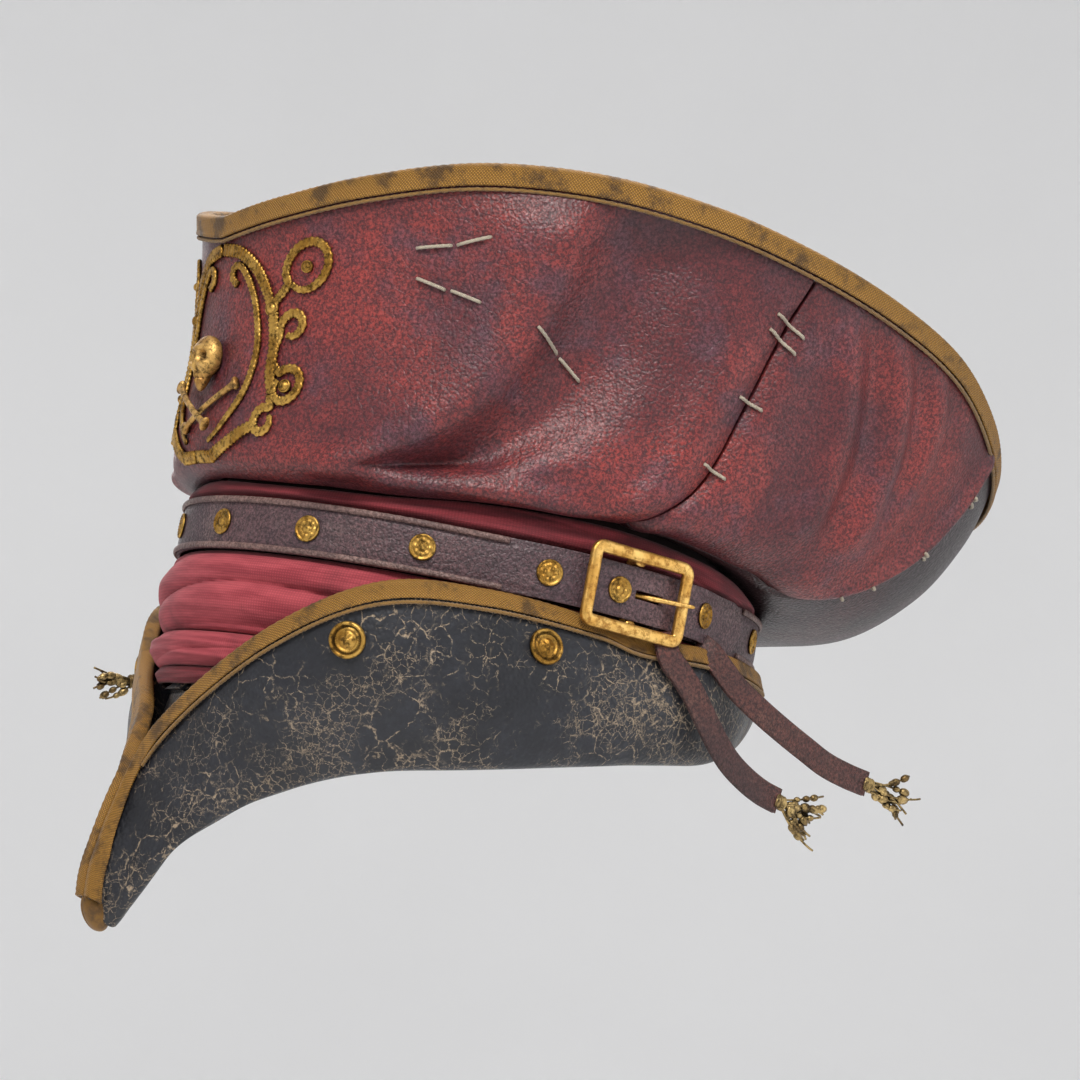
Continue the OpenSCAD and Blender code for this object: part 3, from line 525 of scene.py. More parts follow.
brass = aged_metal("antique_brass", srgb(34, 22, 8), srgb(158, 116, 48), srgb(206, 164, 84), 0.4)
buckle_metal = aged_metal("buckle_brass", srgb(150, 102, 44), srgb(202, 152, 74), srgb(236, 194, 114), 0.32)
gilt = aged_metal("bone_gilt", srgb(36, 22, 9), srgb(158, 112, 54), srgb(212, 170, 98), 0.42, 0.7)
bead_metal = aged_metal("fringe_beads", srgb(16, 11, 8), srgb(96, 74, 42), srgb(196, 168, 112), 0.36, 0.75)
red_cloth = cloth("bandana_cloth", srgb(74, 20, 28), srgb(146, 48, 58), srgb(178, 72, 80))
dark_cloth = cloth("bandana_shadow_cloth", srgb(44, 12, 18), srgb(104, 28, 36), srgb(136, 42, 50))
felt = cloth("foundation_felt", srgb(24, 16, 16), srgb(52, 38, 36), srgb(74, 56, 52), 1400, 0.95)

# ---- Ties ----
# The routes of the flat leather ties. They aren't quite the CAD model's: one or two points are added before each,
# the first CAD point of the left two is moved by 1 to 2 mm, and the ties are wider. The right strap is hidden from
# the camera, so its route is a guess
TIE_LEFT_FRONT = [
    (22, -97.5, 53), (23, -101, 50.5), (25, -103.5, 44), (31, -104, 39), (37, -105, 33), (43, -105.5, 26),
    (50, -105, 19),
    (58, -103.5, 13), (68, -101, 8.5), (78, -98.5, 5.5), (87, -96.5, 4),
]
TIE_LEFT_REAR = [
    (44, -91, 53.5), (48, -94.5, 50.5), (53, -96, 46), (60, -96, 41), (67, -96.5, 37), (76, -96, 33),
    (87, -94.5, 29),
    (98, -92.5, 25.5), (110, -90, 22), (122, -88, 20), (133, -86, 19),
]
TIE_RIGHT = [
    (-32, 106, 40), (-38, 107.8, 31.5), (-42, 108.6, 28), (-48, 109.4, 24), (-54, 110.3, 20.5),
    (-61, 111, 17),
    (-69, 111, 13.5), (-77, 110.5, 11),
]
TIE_W, TIE_T = 8.6, 1.8


def flat_with_rolled_edges(i, angle):
    """Cross-section of a tie: flat in the middle, with rounded edges."""
    c, s = np.abs(np.cos(angle)), np.abs(np.sin(angle))
    return (c**4 + s**4) ** -0.25 * (0.84 + 0.34 * bell(c - 0.80, 0.13)) + 0 * i


def make_fringe(name, end, ahead, out, reach, seed):
    """A tuft of short threads with beads and small metal tips, spreading from the end of a tie."""
    pick = np.random.default_rng(seed)
    build = Builder()
    across = unit(np.cross(ahead, out))
    knot = even_run([end - ahead * 1.5, end + ahead * 3.5], 0.35)
    bound = np.tile(out, (len(knot), 1))
    build.tube(knot, 2.6, bound, 0.75, 12, shape=lambda i, a: 1 + 0.12 * np.cos(i * 1.9 + a))
    for _ in range(11):
        swing = pick.uniform(-0.5, 0.5)
        lift = pick.uniform(-0.3, 0.3)
        long = reach * pick.uniform(0.62, 1.0)
        bend = pick.uniform(-0.5, 0.5)
        root = end + ahead * 2.5 + across * pick.uniform(-1.6, 1.6) + out * pick.uniform(-0.6, 0.6)
        route = []
        for f in (0, 0.3, 0.6, 0.85, 1):
            aside = across * (swing * f + bend * f * (1 - f)) * long
            route.append(root + ahead * long * f + aside + out * lift * f * long * 0.6)
        path = even_run(route, 0.8)
        build.tube(path, 0.42, np.tile(out, (len(path), 1)), 1, 6)
        for share in sorted(pick.uniform(0.25, 1.0, 3)):
            j = int(share * (len(path) - 3))
            axis = unit(path[j + 2] - path[j])
            size = pick.uniform(0.9, 1.45)
            bead = [(0.3, -1.5), (0.8, -1.2), (1.1, -0.5), (1.15, 0), (1.1, 0.5), (0.8, 1.2), (0.3, 1.5)]
            build.lathe(path[j + 1], axis, out, [(r * size, h * size) for r, h in bead], 10)
    return build.make(name, bead_metal, "fringe_beads")


def make_tie(name, route, reach, seed):
    """A flat tie and its fringe. length is that of the route as drawn, and isn't measured from the photo."""
    out = np.array([0.0, math.copysign(1, route[0][1]), 0.0])
    path = even_run(route, 1.0)
    build = Builder()
    build.tube(path, TIE_W / 2, np.tile(out, (len(path), 1)), TIE_T / TIE_W, 40, shape=flat_with_rolled_edges)
    piece = build.make(name + "_strap", tie_skin, "tie_leather")
    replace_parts(piece, name)
    ahead = unit(np.array(route[-1], float) - np.array(route[-2], float))
    fringe_name = name.replace("tie", "fringe")
    fringe = make_fringe(fringe_name + "_beads", np.array(route[-1], float), ahead, out, reach, seed)
    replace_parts(fringe, fringe_name)


make_tie("tie_left_front", TIE_LEFT_FRONT, 24, 3)
make_tie("tie_left_rear", TIE_LEFT_REAR, 26, 5)
make_tie("tie_right", TIE_RIGHT, 17, 7)


# ---- Surfaces of the hat, as the CAD model has them ----
HEAD_A, HEAD_B = 101.5, 82
SWEAT_T, FOUND_IN, FOUND_OUT = 1.2, 1.4, 3.2
CROWN_T, BRIM_T, BELT_T = 2.2, 2.2, 1.8
DOME_START, FOUNDATION_TOP = 68, 124


def ellipse(a, b, t):
    r = np.radians(t)
    return np.stack([a * np.cos(r), b * np.sin(r)], -1)


def fold_t(t):
    return np.degrees(np.arccos(np.clip(np.cos(np.radians(t)), -1, 1)))


def open_z(t):
    return -2 + 36 * ((1 + np.cos(np.radians(t))) / 2) ** 2


CROWN_LOW = [71, 71, 74, 79, 83, 85, 86, 85, 83, 80, 79, 79, 80]
CROWN_RIM = [140, 143, 151, 164, 178, 187, 194, 199, 200, 196, 187, 178, 172]
CROWN_RINGS = [
    (0.5, 105.8, 86.6, 0.03, 0.05), (8.5, 121.5, 100, 0.0, 0.0), (19, 141, 109, 0.06, 0.12),
    (31.5, 155.5, 113, 0.2, 0.42), (40, 163, 118, 0.48, 0.72), (41, 167, 124, 0.78, 0.9),
    (39.5, 169.5, 128, 1.0, 1.0),
]
RIM_K = 6


def side_seam_t(k):
    return 94 - 6 * smooth((k - 3.6) / 2.8)


def gusset_seam_k(t):
    return 0.9 + 5.1 * smooth((54 - np.abs(t)) / 19)


def crown_pt(k, t):
    k, t = np.broadcast_arrays(np.asarray(k, float), np.asarray(t, float))
    r = spline(CROWN_RINGS, k)
    low = spline(CROWN_LOW, fold_t(t) / 15)
    rim = spline(CROWN_RIM, fold_t(t) / 15)
    c, s = np.cos(np.radians(t)), np.sin(np.radians(t))
    rise = r[..., 3] + (r[..., 4] - r[..., 3]) * np.maximum(0, c) ** 2
    return np.stack([r[..., 0] + r[..., 1] * c, r[..., 2] * s, low + rise * (rim - low)], -1)


def crown_normal(k, t):
    e = 0.02
    kk = np.clip(k, e, RIM_K - e)
    round_hat = crown_pt(kk, t + 1) - crown_pt(kk, t - 1)
    up_hat = crown_pt(kk + e, t) - crown_pt(kk - e, t)
    return unit(np.cross(round_hat, up_hat))


# The long crease that leans forward as it runs down: its rings, and its angle at each
CREASE = ([2.1, 2.6, 2.95, 3.35, 3.7, 4.1, 4.5, 5.2, 6], [144, 137, 133, 129, 127, 125, 124, 122, 121])
# Upright folds behind the side seam: angle, lean, height and width of each
FOLDS = ((79, 3.2, 4.0, 3.4), (69, 3.6, 4.4, 3.6), (61, 2.0, 2.6, 2.8))


def crown_sag(k, t):
    """How far the worn leather stands out of, or sinks into, the plain shape."""
    w = (np.asarray(t, float) + 180) % 360 - 180
    side = np.where(w < 0, -1, 1)
    a = np.abs(w)
    shift = np.where(side > 0, 6, 0)
    # The long crease, then a hollow behind it
    crease = np.interp(k, *CREASE)
    d = crease - shift - a
    show = smooth((k - 1.4) / 1.2) * smooth((6.1 - k) / 0.9)
    total = show * (7.5 * np.where(d < 0, bell(d, 12), bell(d, 3.6)) - 8.5 * bell(d - 10.5, 7.0))
    # The puffed leather on both sides of the side seam, and the seam's own groove
    seam = side_seam_t(k)
    total = total + smooth((k - 1.2) / 1) * smooth((5 - k) / 1.2) * 3.6 * bell(a - seam - 5.0, 3.2)
    total = total + smooth((5.6 - k) / 0.6) * (1.2 * bell(a - seam + 3.2, 2.6) - 1.9 * bell(a - seam, 1.2))
    show = smooth((k - 2.2) / 1) * smooth((5.8 - k) / 0.9)
    for at, lean, amp, width in FOLDS:
        off = a - at + lean * (4.2 - k)
        total = total + amp * show * (bell(off, width) - 0.7 * bell(off + 4.6, width))
    # Pillow along the gusset's seam and its groove
    gap = (k - gusset_seam_k(a)) * 9
    show = smooth((70 - a) / 12) * smooth((5.9 - k) / 0.5)
    total = total + show * (3.6 * bell(gap - 7, 5.5) - 2.2 * bell(gap, 2.0))
    # Long dents low on the side and gathers where the leather meets the band
    total = total + 2.6 * bell(k - 1.6 - 0.3 * np.sin(np.radians(a * 3)), 0.35) * smooth((a - 96) / 12)
    total = total - 2.2 * bell(k - 2.3 - 0.3 * np.sin(np.radians(a * 3)), 0.4) * smooth((a - 100) / 15)
    total = total + 0.5 * ripple(k * 2.2, w / 7, seed=4, waves=6) + 0.8 * ripple(k, w / 17, seed=9, waves=5)
    front = 1 - 0.9 * smooth((a - 146) / 10)
    rim = smooth((5.9 - k) / 0.9)
    base = 0.15 + 0.85 * smooth(k / 1.1)
    return total * front * rim * base


def leather_pt(k, t, out=0.0):
    k, t = np.broadcast_arrays(np.asarray(k, float), np.asarray(t, float))
    return crown_pt(k, t) + crown_normal(k, t) * (crown_sag(k, t) + out)[..., None]


def crown_shell(name, k, t, skin, slot, uv_shift=0.0):
    """A panel of the crown on the grid of rings k and angles t."""
    arc = np.stack([np.radians(t) * 140, k * 24 + uv_shift], -1)
    build = Builder()
    build.shell(leather_pt(k, t), leather_pt(k, t, -CROWN_T), uvs=arc)
    piece = build.make(name + "_leather", skin, slot)
    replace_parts(piece, name)
    return soften_edges(piece, 0.5)


def make_crown():
    k = np.linspace(0, RIM_K, 84)[None, :]
    f = np.linspace(0, 1, 340)[:, None]
    start = side_seam_t(k) + 0.22
    crown_shell("crown_front_panel", k + 0 * f, start + (360 - 2 * start) * f, crown_skin, "crown_leather")
    for side, name in ((-1, "crown_back_left"), (1, "crown_back_right")):
        near = 37.2
        end = 55.5
        share = np.linspace(0, 1, 110)[:, None]
        g = np.linspace(0, 1, 76)[None, :]
        split = 0.36
        ts = np.where(share < split, near + (end - near) * share / split, end)
        low = gusset_seam_k(ts) + 0.02
        k = low + (RIM_K - low) * g
        far = side_seam_t(k) - 0.22
        t = np.where(share < split, ts + 0 * g, end + (far - end) * (share - split) / (1 - split))
        crown_shell(name, k, side * t, crown_skin, "crown_leather", 3)
    half = side_seam_t(0) - 0.15
    t = np.linspace(-half, half, 220)[:, None]
    g = np.linspace(0, 1, 60)[None, :]
    k = (gusset_seam_k(t) - 0.03) * g
    crown_shell("crown_rear_gusset", k, t + 0 * g, gusset_skin_in_painted_shade, "gusset_leather", 7)


def make_top_panel():
    t = np.arange(0, 360, 1.5)
    drop = 10 / np.linalg.norm(crown_pt(RIM_K - 1, t) - crown_pt(RIM_K, t), axis=1)
    k = RIM_K - drop
    edge = crown_pt(k, t) - crown_normal(k, t) * (CROWN_T + 1.2)
    middle = np.array([33.0, 0, 158])
    f = np.linspace(0.0, 1, 46)[None, :, None]
    top = middle + f * (edge[:, None] - middle)
    f = f[..., 0]
    sag = 10 * (1 - f**2)
    gather = 0.9 * np.sin(np.radians(t * 36))[:, None] * smooth((f - 0.72) / 0.28) * smooth((1.02 - f) / 0.1)
    angle = np.radians(t)[:, None]
    dents = 1.8 * ripple(top[..., 0] / 30, top[..., 1] / 26, seed=12, waves=6)
    top[..., 2] += gather - sag + dents * smooth((1 - f) / 0.25) + 2.4 * np.sin(5 * angle) * f * (1 - f)
    build = Builder()
    build.shell(top, top - [0, 0, CROWN_T], closed=True, uvs=top[..., :2])
    piece = build.make("crown_top_panel_leather", top_skin, "crown_leather")
    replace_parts(piece, "crown_top_panel")


make_crown()
make_top_panel()


# ---- Rim braid, cords and stitches ----
RIM_BRAID_W, BRIM_BRAID_W, CORD_D = 6.5, 5.0, 1.4


def over_edge(points, normals, downs, inner_n, outer_n, width_out, width_in, thick):
    """Grids for a strip folded over an edge: its outer face and the face that lies on the leather."""
    mid, half = (inner_n + outer_n) / 2, (outer_n - inner_n) / 2
    turn = np.radians(np.linspace(-90, 90, 13))
    grids = []
    for grow in (thick, 0.0):
        n = np.concatenate([
            np.full(9, outer_n + grow), mid + (half + grow) * -np.sin(turn), np.full(9, inner_n - grow)])
        d = np.concatenate([
            np.linspace(width_out, 0.4, 9), -(0.3 + grow) * np.cos(turn), np.linspace(0.4, width_in, 9)])
        off = normals[:, None] * n[None, :, None] + downs[:, None] * d[None, :, None]
        grids.append(points[:, None] + off)
    return grids


def braid_uv(count, step, across=31):
    along = np.arange(count)[:, None] * step
    return np.stack(np.broadcast_arrays(along, np.linspace(0, 20, across)[None, :]), -1)


def add_selvedges(outer, step):
    """Raises the two selvedges of a braid and gives it a low, uneven twill."""
    count, across = outer.shape[:2]
    v = np.arange(across)[None, :]
    s = np.arange(count)[:, None] * step
    lift = 0.35 * (bell(v - 0.6, 0.8) + bell(v - (across - 1.6), 0.8))
    lift = lift + 0.10 * np.sin(s * 2.1 + v * 1.2) + 0.12 * ripple(s / 9, v / 5.0, seed=21)
    out = unit(outer - outer.mean(1, keepdims=True))
    return outer + out * lift[..., None]


def make_rim_braid():
    step = 0.4
    t = np.arange(0, 360, step)
    p, n = crown_pt(RIM_K, t), crown_normal(RIM_K, t)
    down = unit(crown_pt(RIM_K - 0.3, t) - p)
    outer, inner = over_edge(p, n, down, -CROWN_T - 0.9, 0.9, RIM_BRAID_W, RIM_BRAID_W, 1.2)
    build = Builder()
    build.shell(add_selvedges(outer, 1.0), inner, closed=True, uvs=braid_uv(len(t), 1.0))
    piece = build.make("crown_rim_braid_woven", braid_gold, "old_gold_braid")
    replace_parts(piece, "crown_rim_braid")


def twisted(i, angle):
    """Two strands twisted together."""
    return 1 + 0.16 * np.cos(2 * (angle - i * 0.55))


def make_rim_piping():
    t = np.arange(0, 360, 0.2)
    p, n = crown_pt(RIM_K, t), crown_normal(RIM_K, t)
    route = p + unit(crown_pt(RIM_K - 0.3, t) - p) * (RIM_BRAID_W + 1.4) + n * (CORD_D / 2 + 0.6)
    build = Builder()
    build.tube(route, CORD_D / 2, n, 1, 8, closed=True, shape=twisted)
    piece = build.make("crown_rim_piping_cord", cord_gold, "gold_cord")
    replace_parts(piece, "crown_rim_piping")


def stitch(build, k, t, dk, dt, thick=0.62):
    """One thread lying over the leather, its ends going down into their holes."""
    f = np.linspace(-0.5, 0.5, 26)
    lift = 0.95 * np.sqrt(np.maximum(0, 1 - (2 * np.abs(f)) ** 6)) + 0.25 * np.cos(np.pi * f) - 0.35
    path = leather_pt(k + dk * f, t + dt * f, lift + thick * 0.55)
    normals = crown_normal(k + dk * f, t + dt * f)
    build.tube(path, thick, normals, 1, 8, shape=lambda i, a: 1 + 0.13 * np.cos(2 * (a - i * 0.8)))


SIDE_STITCHES = [(4.9, -0.15, 4.2), (4.7, -0.15, 4.2), (3.97, -0.06, 3.6), (3.13, -0.11, 4)]
GUSSET_STITCHES = [(1.9, 49.5, 3.4), (2.35, 48, 3), (3.2, 45, 5), (4.3, 42, 4.6)]
DARNING = [
    (4.93, -140, 0.01, 4.9), (4.99, -134.6, 0.1, 4.3), (4.54, -139.5, -0.12, 4.3),
    (4.42, -134.3, -0.1, 4.2), (4.08, -122.2, -0.22, 3.7), (3.84, -117.8, -0.18, 3.8),
]


def make_stitches():
    for side, hand in ((-1, "left"), (1, "right")):
        build = Builder()
        for k, dk, dt in SIDE_STITCHES:
            stitch(build, k, side * float(side_seam_t(k)), dk, -side * dt)
        threads = build.make(f"side_seam_threads_{hand}", linen, "linen_thread")
        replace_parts(threads, f"side_seam_stitches_{hand}")
        build = Builder()
        for k, t, dt in GUSSET_STITCHES:
            stitch(build, k, side * t, 0.05, side * dt)
        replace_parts(build.make(f"gusset_threads_{hand}", linen, "linen_thread"), f"gusset_stitches_{hand}")
    build = Builder()
    for k, t, dk, dt in DARNING:
        stitch(build, k, t, dk, dt)
    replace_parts(build.make("darning_threads", linen, "linen_thread"), "crown_darning_stitches")


make_rim_braid()
make_rim_piping()
make_stitches()


# ---- Head band and foundation ----
def ring_grid(t, outs, heights):
    """Points round the head opening: columns are [offset, height] pairs that may depend on the angle."""
    rows = []
    for out, z in zip(outs, heights):
        xy = ellipse(1, 1, t) * np.stack([HEAD_A + out + 0 * t, HEAD_B + out + 0 * t], -1)
        rows.append(np.concatenate([xy, (z + 0 * t)[:, None]], 1))
    return np.stack(rows, 1)


def make_foundation():
    t = np.arange(0, 360, 3.0)
    grids = []
    for out in (FOUND_OUT, FOUND_IN):
        lower = ring_grid(t, [out] * 8, [open_z(t) * (1 - g) + DOME_START * g for g in np.linspace(0, 1, 8)])
        domes = []
        for f in np.linspace(9, 90, 16):
            shrink = max(0.0, math.cos(math.radians(f))) ** 0.7
            xy = ellipse((HEAD_A + out) * shrink, (HEAD_B + out) * shrink, t)
            z = DOME_START + (FOUNDATION_TOP - DOME_START + out - FOUND_OUT) * math.sin(math.radians(f))
            domes.append(np.concatenate([xy, np.full((len(t), 1), z)], 1))
        grids.append(np.concatenate([lower, np.stack(domes, 1)], 1))
    across = np.linspace(0, 160, grids[0].shape[1])
    uvs = np.stack(np.broadcast_arrays(t[:, None] * 1.6, across[None, :]), -1)
    build = Builder()
    build.shell(*grids, closed=True, uvs=uvs)
    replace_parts(soften_edges(build.make("foundation_felt", felt, "foundation_felt"), 0.5), "foundation_cap")


def make_sweatband():
    t = np.arange(0, 360, 1.5)
    low, high = open_z(t) + 1, open_z(t) + 26
    shares = np.linspace(0, 1, 12)
    wave = [0.25 * np.sin(np.radians(t * 22)) * s * (1 - s) * 4 for s in shares]
    outer = ring_grid(t, [SWEAT_T] * 12, [low * (1 - s) + high * s for s in shares])
    inner = ring_grid(t, [0.1 + w for w in wave], [low * (1 - s) + high * s for s in shares])
    uvs = np.stack(np.broadcast_arrays(t[:, None] * 1.6, shares[None, :] * 25), -1)
    build = Builder()
    build.shell(outer, inner, closed=True, uvs=uvs)
    strip = build.make("sweatband_leather_strip", band_skin, "sweatband_leather")
    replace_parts(soften_edges(strip, 0.3), "sweatband")


make_foundation()
make_sweatband()


# ---- Cloth wraps ----
BELT_A, BELT_B, BELT_Z, BELT_W = 113, 94.5, 63, 19
BELT_LOW = BELT_Z - BELT_W / 2


def make_wrap(name, skin, slot, lows, highs, outs, span, rolls, seed):
    """Cloth folded round the head band between two heights, gathered into rolls.

    rolls gives the number of folds, how far they stand out and how far they lean round the hat."""
    count, depth, lean = rolls
    closed = span is None
    t = np.arange(0, 360, 0.8) if closed else np.linspace(span[0], span[1], 240)
    low, high, out = (spline(np.array(p, float), fold_t(t) / 180 * (len(p) - 1)) for p in (lows, highs, outs))
    v = np.linspace(0, 1, 44)[None, :]
    angle = np.radians(t)[:, None]
    wander = 0.35 * ripple(angle * 2.2, seed=seed, waves=4) + lean * np.cos(angle - 0.5)
    phase = v * count + wander + 0.12 * ripple(angle * 3, v * 5, seed=seed + 1)
    crest = np.abs(np.sin(np.pi * phase))
    folds = depth * (crest**0.55 - 0.55)
    creases = 0.5 * ripple(angle * 7, v * 12, seed=seed + 2, waves=6)
    creases = creases + 0.5 * ripple(angle * 4, v * 18, seed=seed + 3)
    swell = np.sin(np.pi * np.clip(v, 0, 1)) ** 0.45
    reach = swell * (out[:, None] + 0.8 + folds + creases) - 1.2 * (1 - swell)
    z = low[:, None] + (high - low)[:, None] * v
    z = z + 0.5 * np.sin(np.pi * v) * ripple(angle * 6, v * 3, seed=seed + 5)
    under_belt = 1 - smooth((np.abs(z - BELT_Z) - BELT_W / 2) / 2.5)
    reach = reach * (1 - under_belt) + np.minimum(reach, -0.4) * under_belt
    a = BELT_A - 0.6 + reach
    b = BELT_B - 0.6 + reach
    outer = np.stack([a * np.cos(angle), b * np.sin(angle), z], -1)
    inner = np.stack([(a - 1.3) * np.cos(angle), (b - 1.3) * np.sin(angle), z], -1)
    uvs = np.stack(np.broadcast_arrays(angle * 105, v * 34), -1)
    build = Builder()
    build.shell(outer, inner, closed=closed, uvs=uvs)
    piece = build.make(name + "_cloth", skin, slot)
    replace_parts(piece, name)


# The upper wrap's top follows the crown's lower edge, which the CAD model's doesn't
make_wrap(
    "bandana_upper_wrap", dark_cloth, "bandana_cloth", [BELT_LOW + 9] * 5, [low - 0.9 for low in CROWN_LOW],
    [0.5, 1.5, 2.2, 1.2, 0.5], None, (1.7, 2.6, 0.8), 31)
make_wrap(
    "bandana_main_wrap", red_cloth, "bandana_cloth", [40, 37, 28, 24, 24], [BELT_LOW - 0.2] * 5,
    [0, 0, 0, 2.6, 3.6], None, (2.1, 3.8, 1.1), 33)
make_wrap(
    "bandana_lower_fold", red_cloth, "bandana_cloth", [14, 14, 14, 12, 11], [25, 25, 25, 23.7, 23.7],
    [0, 0, -2, 2, 3.5], (88, 272), (1.0, 1.8, 0.25), 35)
make_wrap(
    "bandana_under_fold", dark_cloth, "bandana_shadow_cloth", [9.6, 9.6, 9.6, 7, 4.5],
    [13.6, 13.6, 13.6, 11.7, 10.7], [-2, -2, -3, -1, 0], (96, 264), (1.0, 0.9, 0.1), 37)


# ---- Belt ----
BUCKLE_T, TAIL_T = -87, -53
LIFT_N, PIVOT_N = 6.2, 3.2


def belt_normal(t):
    r = np.radians(t)
    return unit(np.stack([np.cos(r) / BELT_A, np.sin(r) / BELT_B, 0 * r], -1))


def belt_pt(t, n, z):
    t, n, z = np.broadcast_arrays(np.asarray(t, float), np.asarray(n, float), np.asarray(z, float))
    xy = ellipse(BELT_A, BELT_B, t)
    return np.concatenate([xy, z[..., None]], -1) + n[..., None] * belt_normal(t)


def strap_lift(t):
    t = np.asarray(t, float)
    rise = LIFT_N * smooth((t - BUCKLE_T + 30) / 22)
    fall = LIFT_N - (LIFT_N - BELT_T - 0.3) * smooth((t - BUCKLE_T - 14) / 12)
    return np.where(t < BUCKLE_T + 14, rise, fall)


BUCKLE_MID = belt_pt(BUCKLE_T, 0, BELT_Z)
BUCKLE_OUT = belt_normal(BUCKLE_T)
BUCKLE_REAR = np.cross([0, 0, 1], BUCKLE_OUT)


def buckle_pt(s, n, z):
    s, n, z = np.broadcast_arrays(np.asarray(s, float), np.asarray(n, float), np.asarray(z, float))
    level = BUCKLE_MID + s[..., None] * BUCKLE_REAR + n[..., None] * BUCKLE_OUT
    return level + z[..., None] * np.array([0, 0, 1.0])


def make_strap():
    tail_end = np.linspace(TAIL_T - 5, TAIL_T - 0.02, 16)
    t = np.concatenate([np.arange(BUCKLE_T - 352.3, TAIL_T - 5, 1.2), tail_end])
    v = np.linspace(-1, 1, 25)[None, :]
    tip = np.clip((TAIL_T - t) / 5, 0, 1)
    half = (BELT_W / 2) * np.sqrt(1 - (1 - tip) ** 2 * 0.94)
    tail = smooth((t - BUCKLE_T + 26) / 4)[:, None]
    groove = -0.35 * (bell(np.abs(v) - 0.80, 0.05)) * tail - 0.3 * bell(np.abs(v) - 0.72, 0.05) * (1 - tail)
    dome = 0.35 * (1 - v**4) - 0.35 + 0.12 * ripple(t[:, None] / 7, v * 3, seed=41)
    n = strap_lift(t)[:, None]
    z = BELT_Z + v * half[:, None]
    outer = belt_pt(t[:, None] + 0 * v, n + BELT_T + dome + groove, z)
    inner = belt_pt(t[:, None] + 0 * v, n + 0 * v, z)
    uvs = np.stack(np.broadcast_arrays(np.radians(t)[:, None] * 105, v * 9.5), -1)
    build = Builder()
    build.shell(outer, inner, uvs=uvs)
    piece = build.make("belt_strap_leather", belt_skin, "belt_leather")
    slot = Builder()
    corners = np.array([(s, z) for s, z in ((0.5, -1.6), (12.6, -1.6), (12.6, 1.6), (0.5, 1.6))])
    slot.loops([buckle_pt(corners[:, 0], n, corners[:, 1]) for n in (LIFT_N - 2, LIFT_N + 4)])
    cut_out(piece, slot)
    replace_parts(soften_edges(piece, 0.4), "belt_strap")


def cut_out(piece, cutter):
    """Takes the cutter's solid out of a piece and puts the result in its mesh."""
    tool = cutter.make("cutter_tool", belt_skin, "belt_leather")
    cut = piece.modifiers.new("cut", "BOOLEAN")
    cut.operation, cut.object, cut.solver = "DIFFERENCE", tool, "EXACT"
    bpy.context.view_layer.update()
    result = bpy.data.meshes.new_from_object(piece.evaluated_get(bpy.context.evaluated_depsgraph_get()))
    piece.modifiers.remove(cut)
    piece.data = result
    bpy.data.objects.remove(tool)


def make_welts():
    """Rolled edges along both sides of the belt."""
    t = np.linspace(BUCKLE_T - 324, BUCKLE_T - 24, 900)
    build = Builder()
    for side in (-1, 1):
        z = BELT_Z + side * (BELT_W / 2 - 1.1)
        path = belt_pt(t, strap_lift(t) + BELT_T + 0.35, z)
        build.tube(path, 1.15, belt_normal(t), 0.62, 12, shape=lambda i, a: 1 + 0.03 * np.cos(i * 0.9))
    piece = build.make("belt_edge_welts_rolled", welt_skin, "welt_leather")
    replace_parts(piece, "belt_edge_welts")


def make_chape():
    """The strap's end, folded round the buckle's centre bar, in two halves beside the prong's eye."""
    build = Builder()
    turn = np.radians(np.linspace(90, 270, 15))
    upper = [(s, 1.95) for s in np.linspace(9, 0.4, 8)]
    lower = [(s, -1.95) for s in np.linspace(0.4, 14, 12)]
    bend = [(1.95 * math.cos(a), 1.95 * math.sin(a)) for a in turn]
    route = np.array(upper + bend + lower)
    ahead = np.gradient(route, axis=0)
    side = unit(np.stack([-ahead[:, 1], ahead[:, 0]], 1))
    for z0, z1 in ((-8.5, -2.7), (2.7, 8.5)):
        z = np.linspace(z0, z1, 8)[None, :]
        grids = []
        for off in (-0.62, 0.62):
            q = route + side * off
            grids.append(buckle_pt(q[:, :1] + 0 * z, PIVOT_N + q[:, 1:] + 0 * z, z))
        build.shell(*grids)
    piece = build.make("belt_chape_leather", chape_skin, "belt_leather")
    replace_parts(soften_edges(piece, 0.25), "belt_chape")


def petals(radius, height, angle):
    """Eight petals round a stud's middle and a beaded rim."""
    leaf = 0.22 * np.cos(8 * angle) * bell(radius - 2.6, 0.9)
    return leaf + 0.10 * np.cos(24 * angle) * bell(radius - 4.25, 0.3)


def make_studs():
    profile = [
        (4.75, 0.0), (4.75, 0.45), (4.6, 0.75), (4.3, 0.95), (4.0, 0.85), (3.7, 0.55), (3.4, 0.5),
        (3.0, 0.78), (2.6, 0.9), (2.2, 0.8), (1.9, 0.55), (1.6, 0.62), (1.3, 0.95), (0.9, 1.2),
        (0.5, 1.32), (0.15, 1.36),
    ]
    build = Builder()
    for t in [-103.3 - 298.3 * i / 13 for i in range(14)] + [-90.2, -69.4]:
        ahead = belt_pt(t + 1, strap_lift(t + 1), 0) - belt_pt(t - 1, strap_lift(t - 1), 0)
        n = unit(np.cross(ahead, [0, 0, 1]))
        place = belt_pt(t, strap_lift(t) + BELT_T, BELT_Z) + n * 0.15
        build.lathe(place, n, (0, 0, 1), profile, 48, petals)
    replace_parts(build.make("belt_studs_cast", brass, "antique_brass"), "belt_studs")


BUCKLE_L, BUCKLE_H, BAR_W, BAR_T = 45, 31, 4.5, 2.8
BAR_N = LIFT_N + BELT_T + 0.3
PRONG_D = 2.0


def squarish(i, angle):
    c, s = np.abs(np.cos(angle)), np.abs(np.sin(angle))
    uneven = 1 + 0.012 * np.sin(i * 0.23) + 0.01 * np.sin(i * 0.61 + 1)
    return (c**3.4 + s**3.4) ** (-1 / 3.4) * uneven


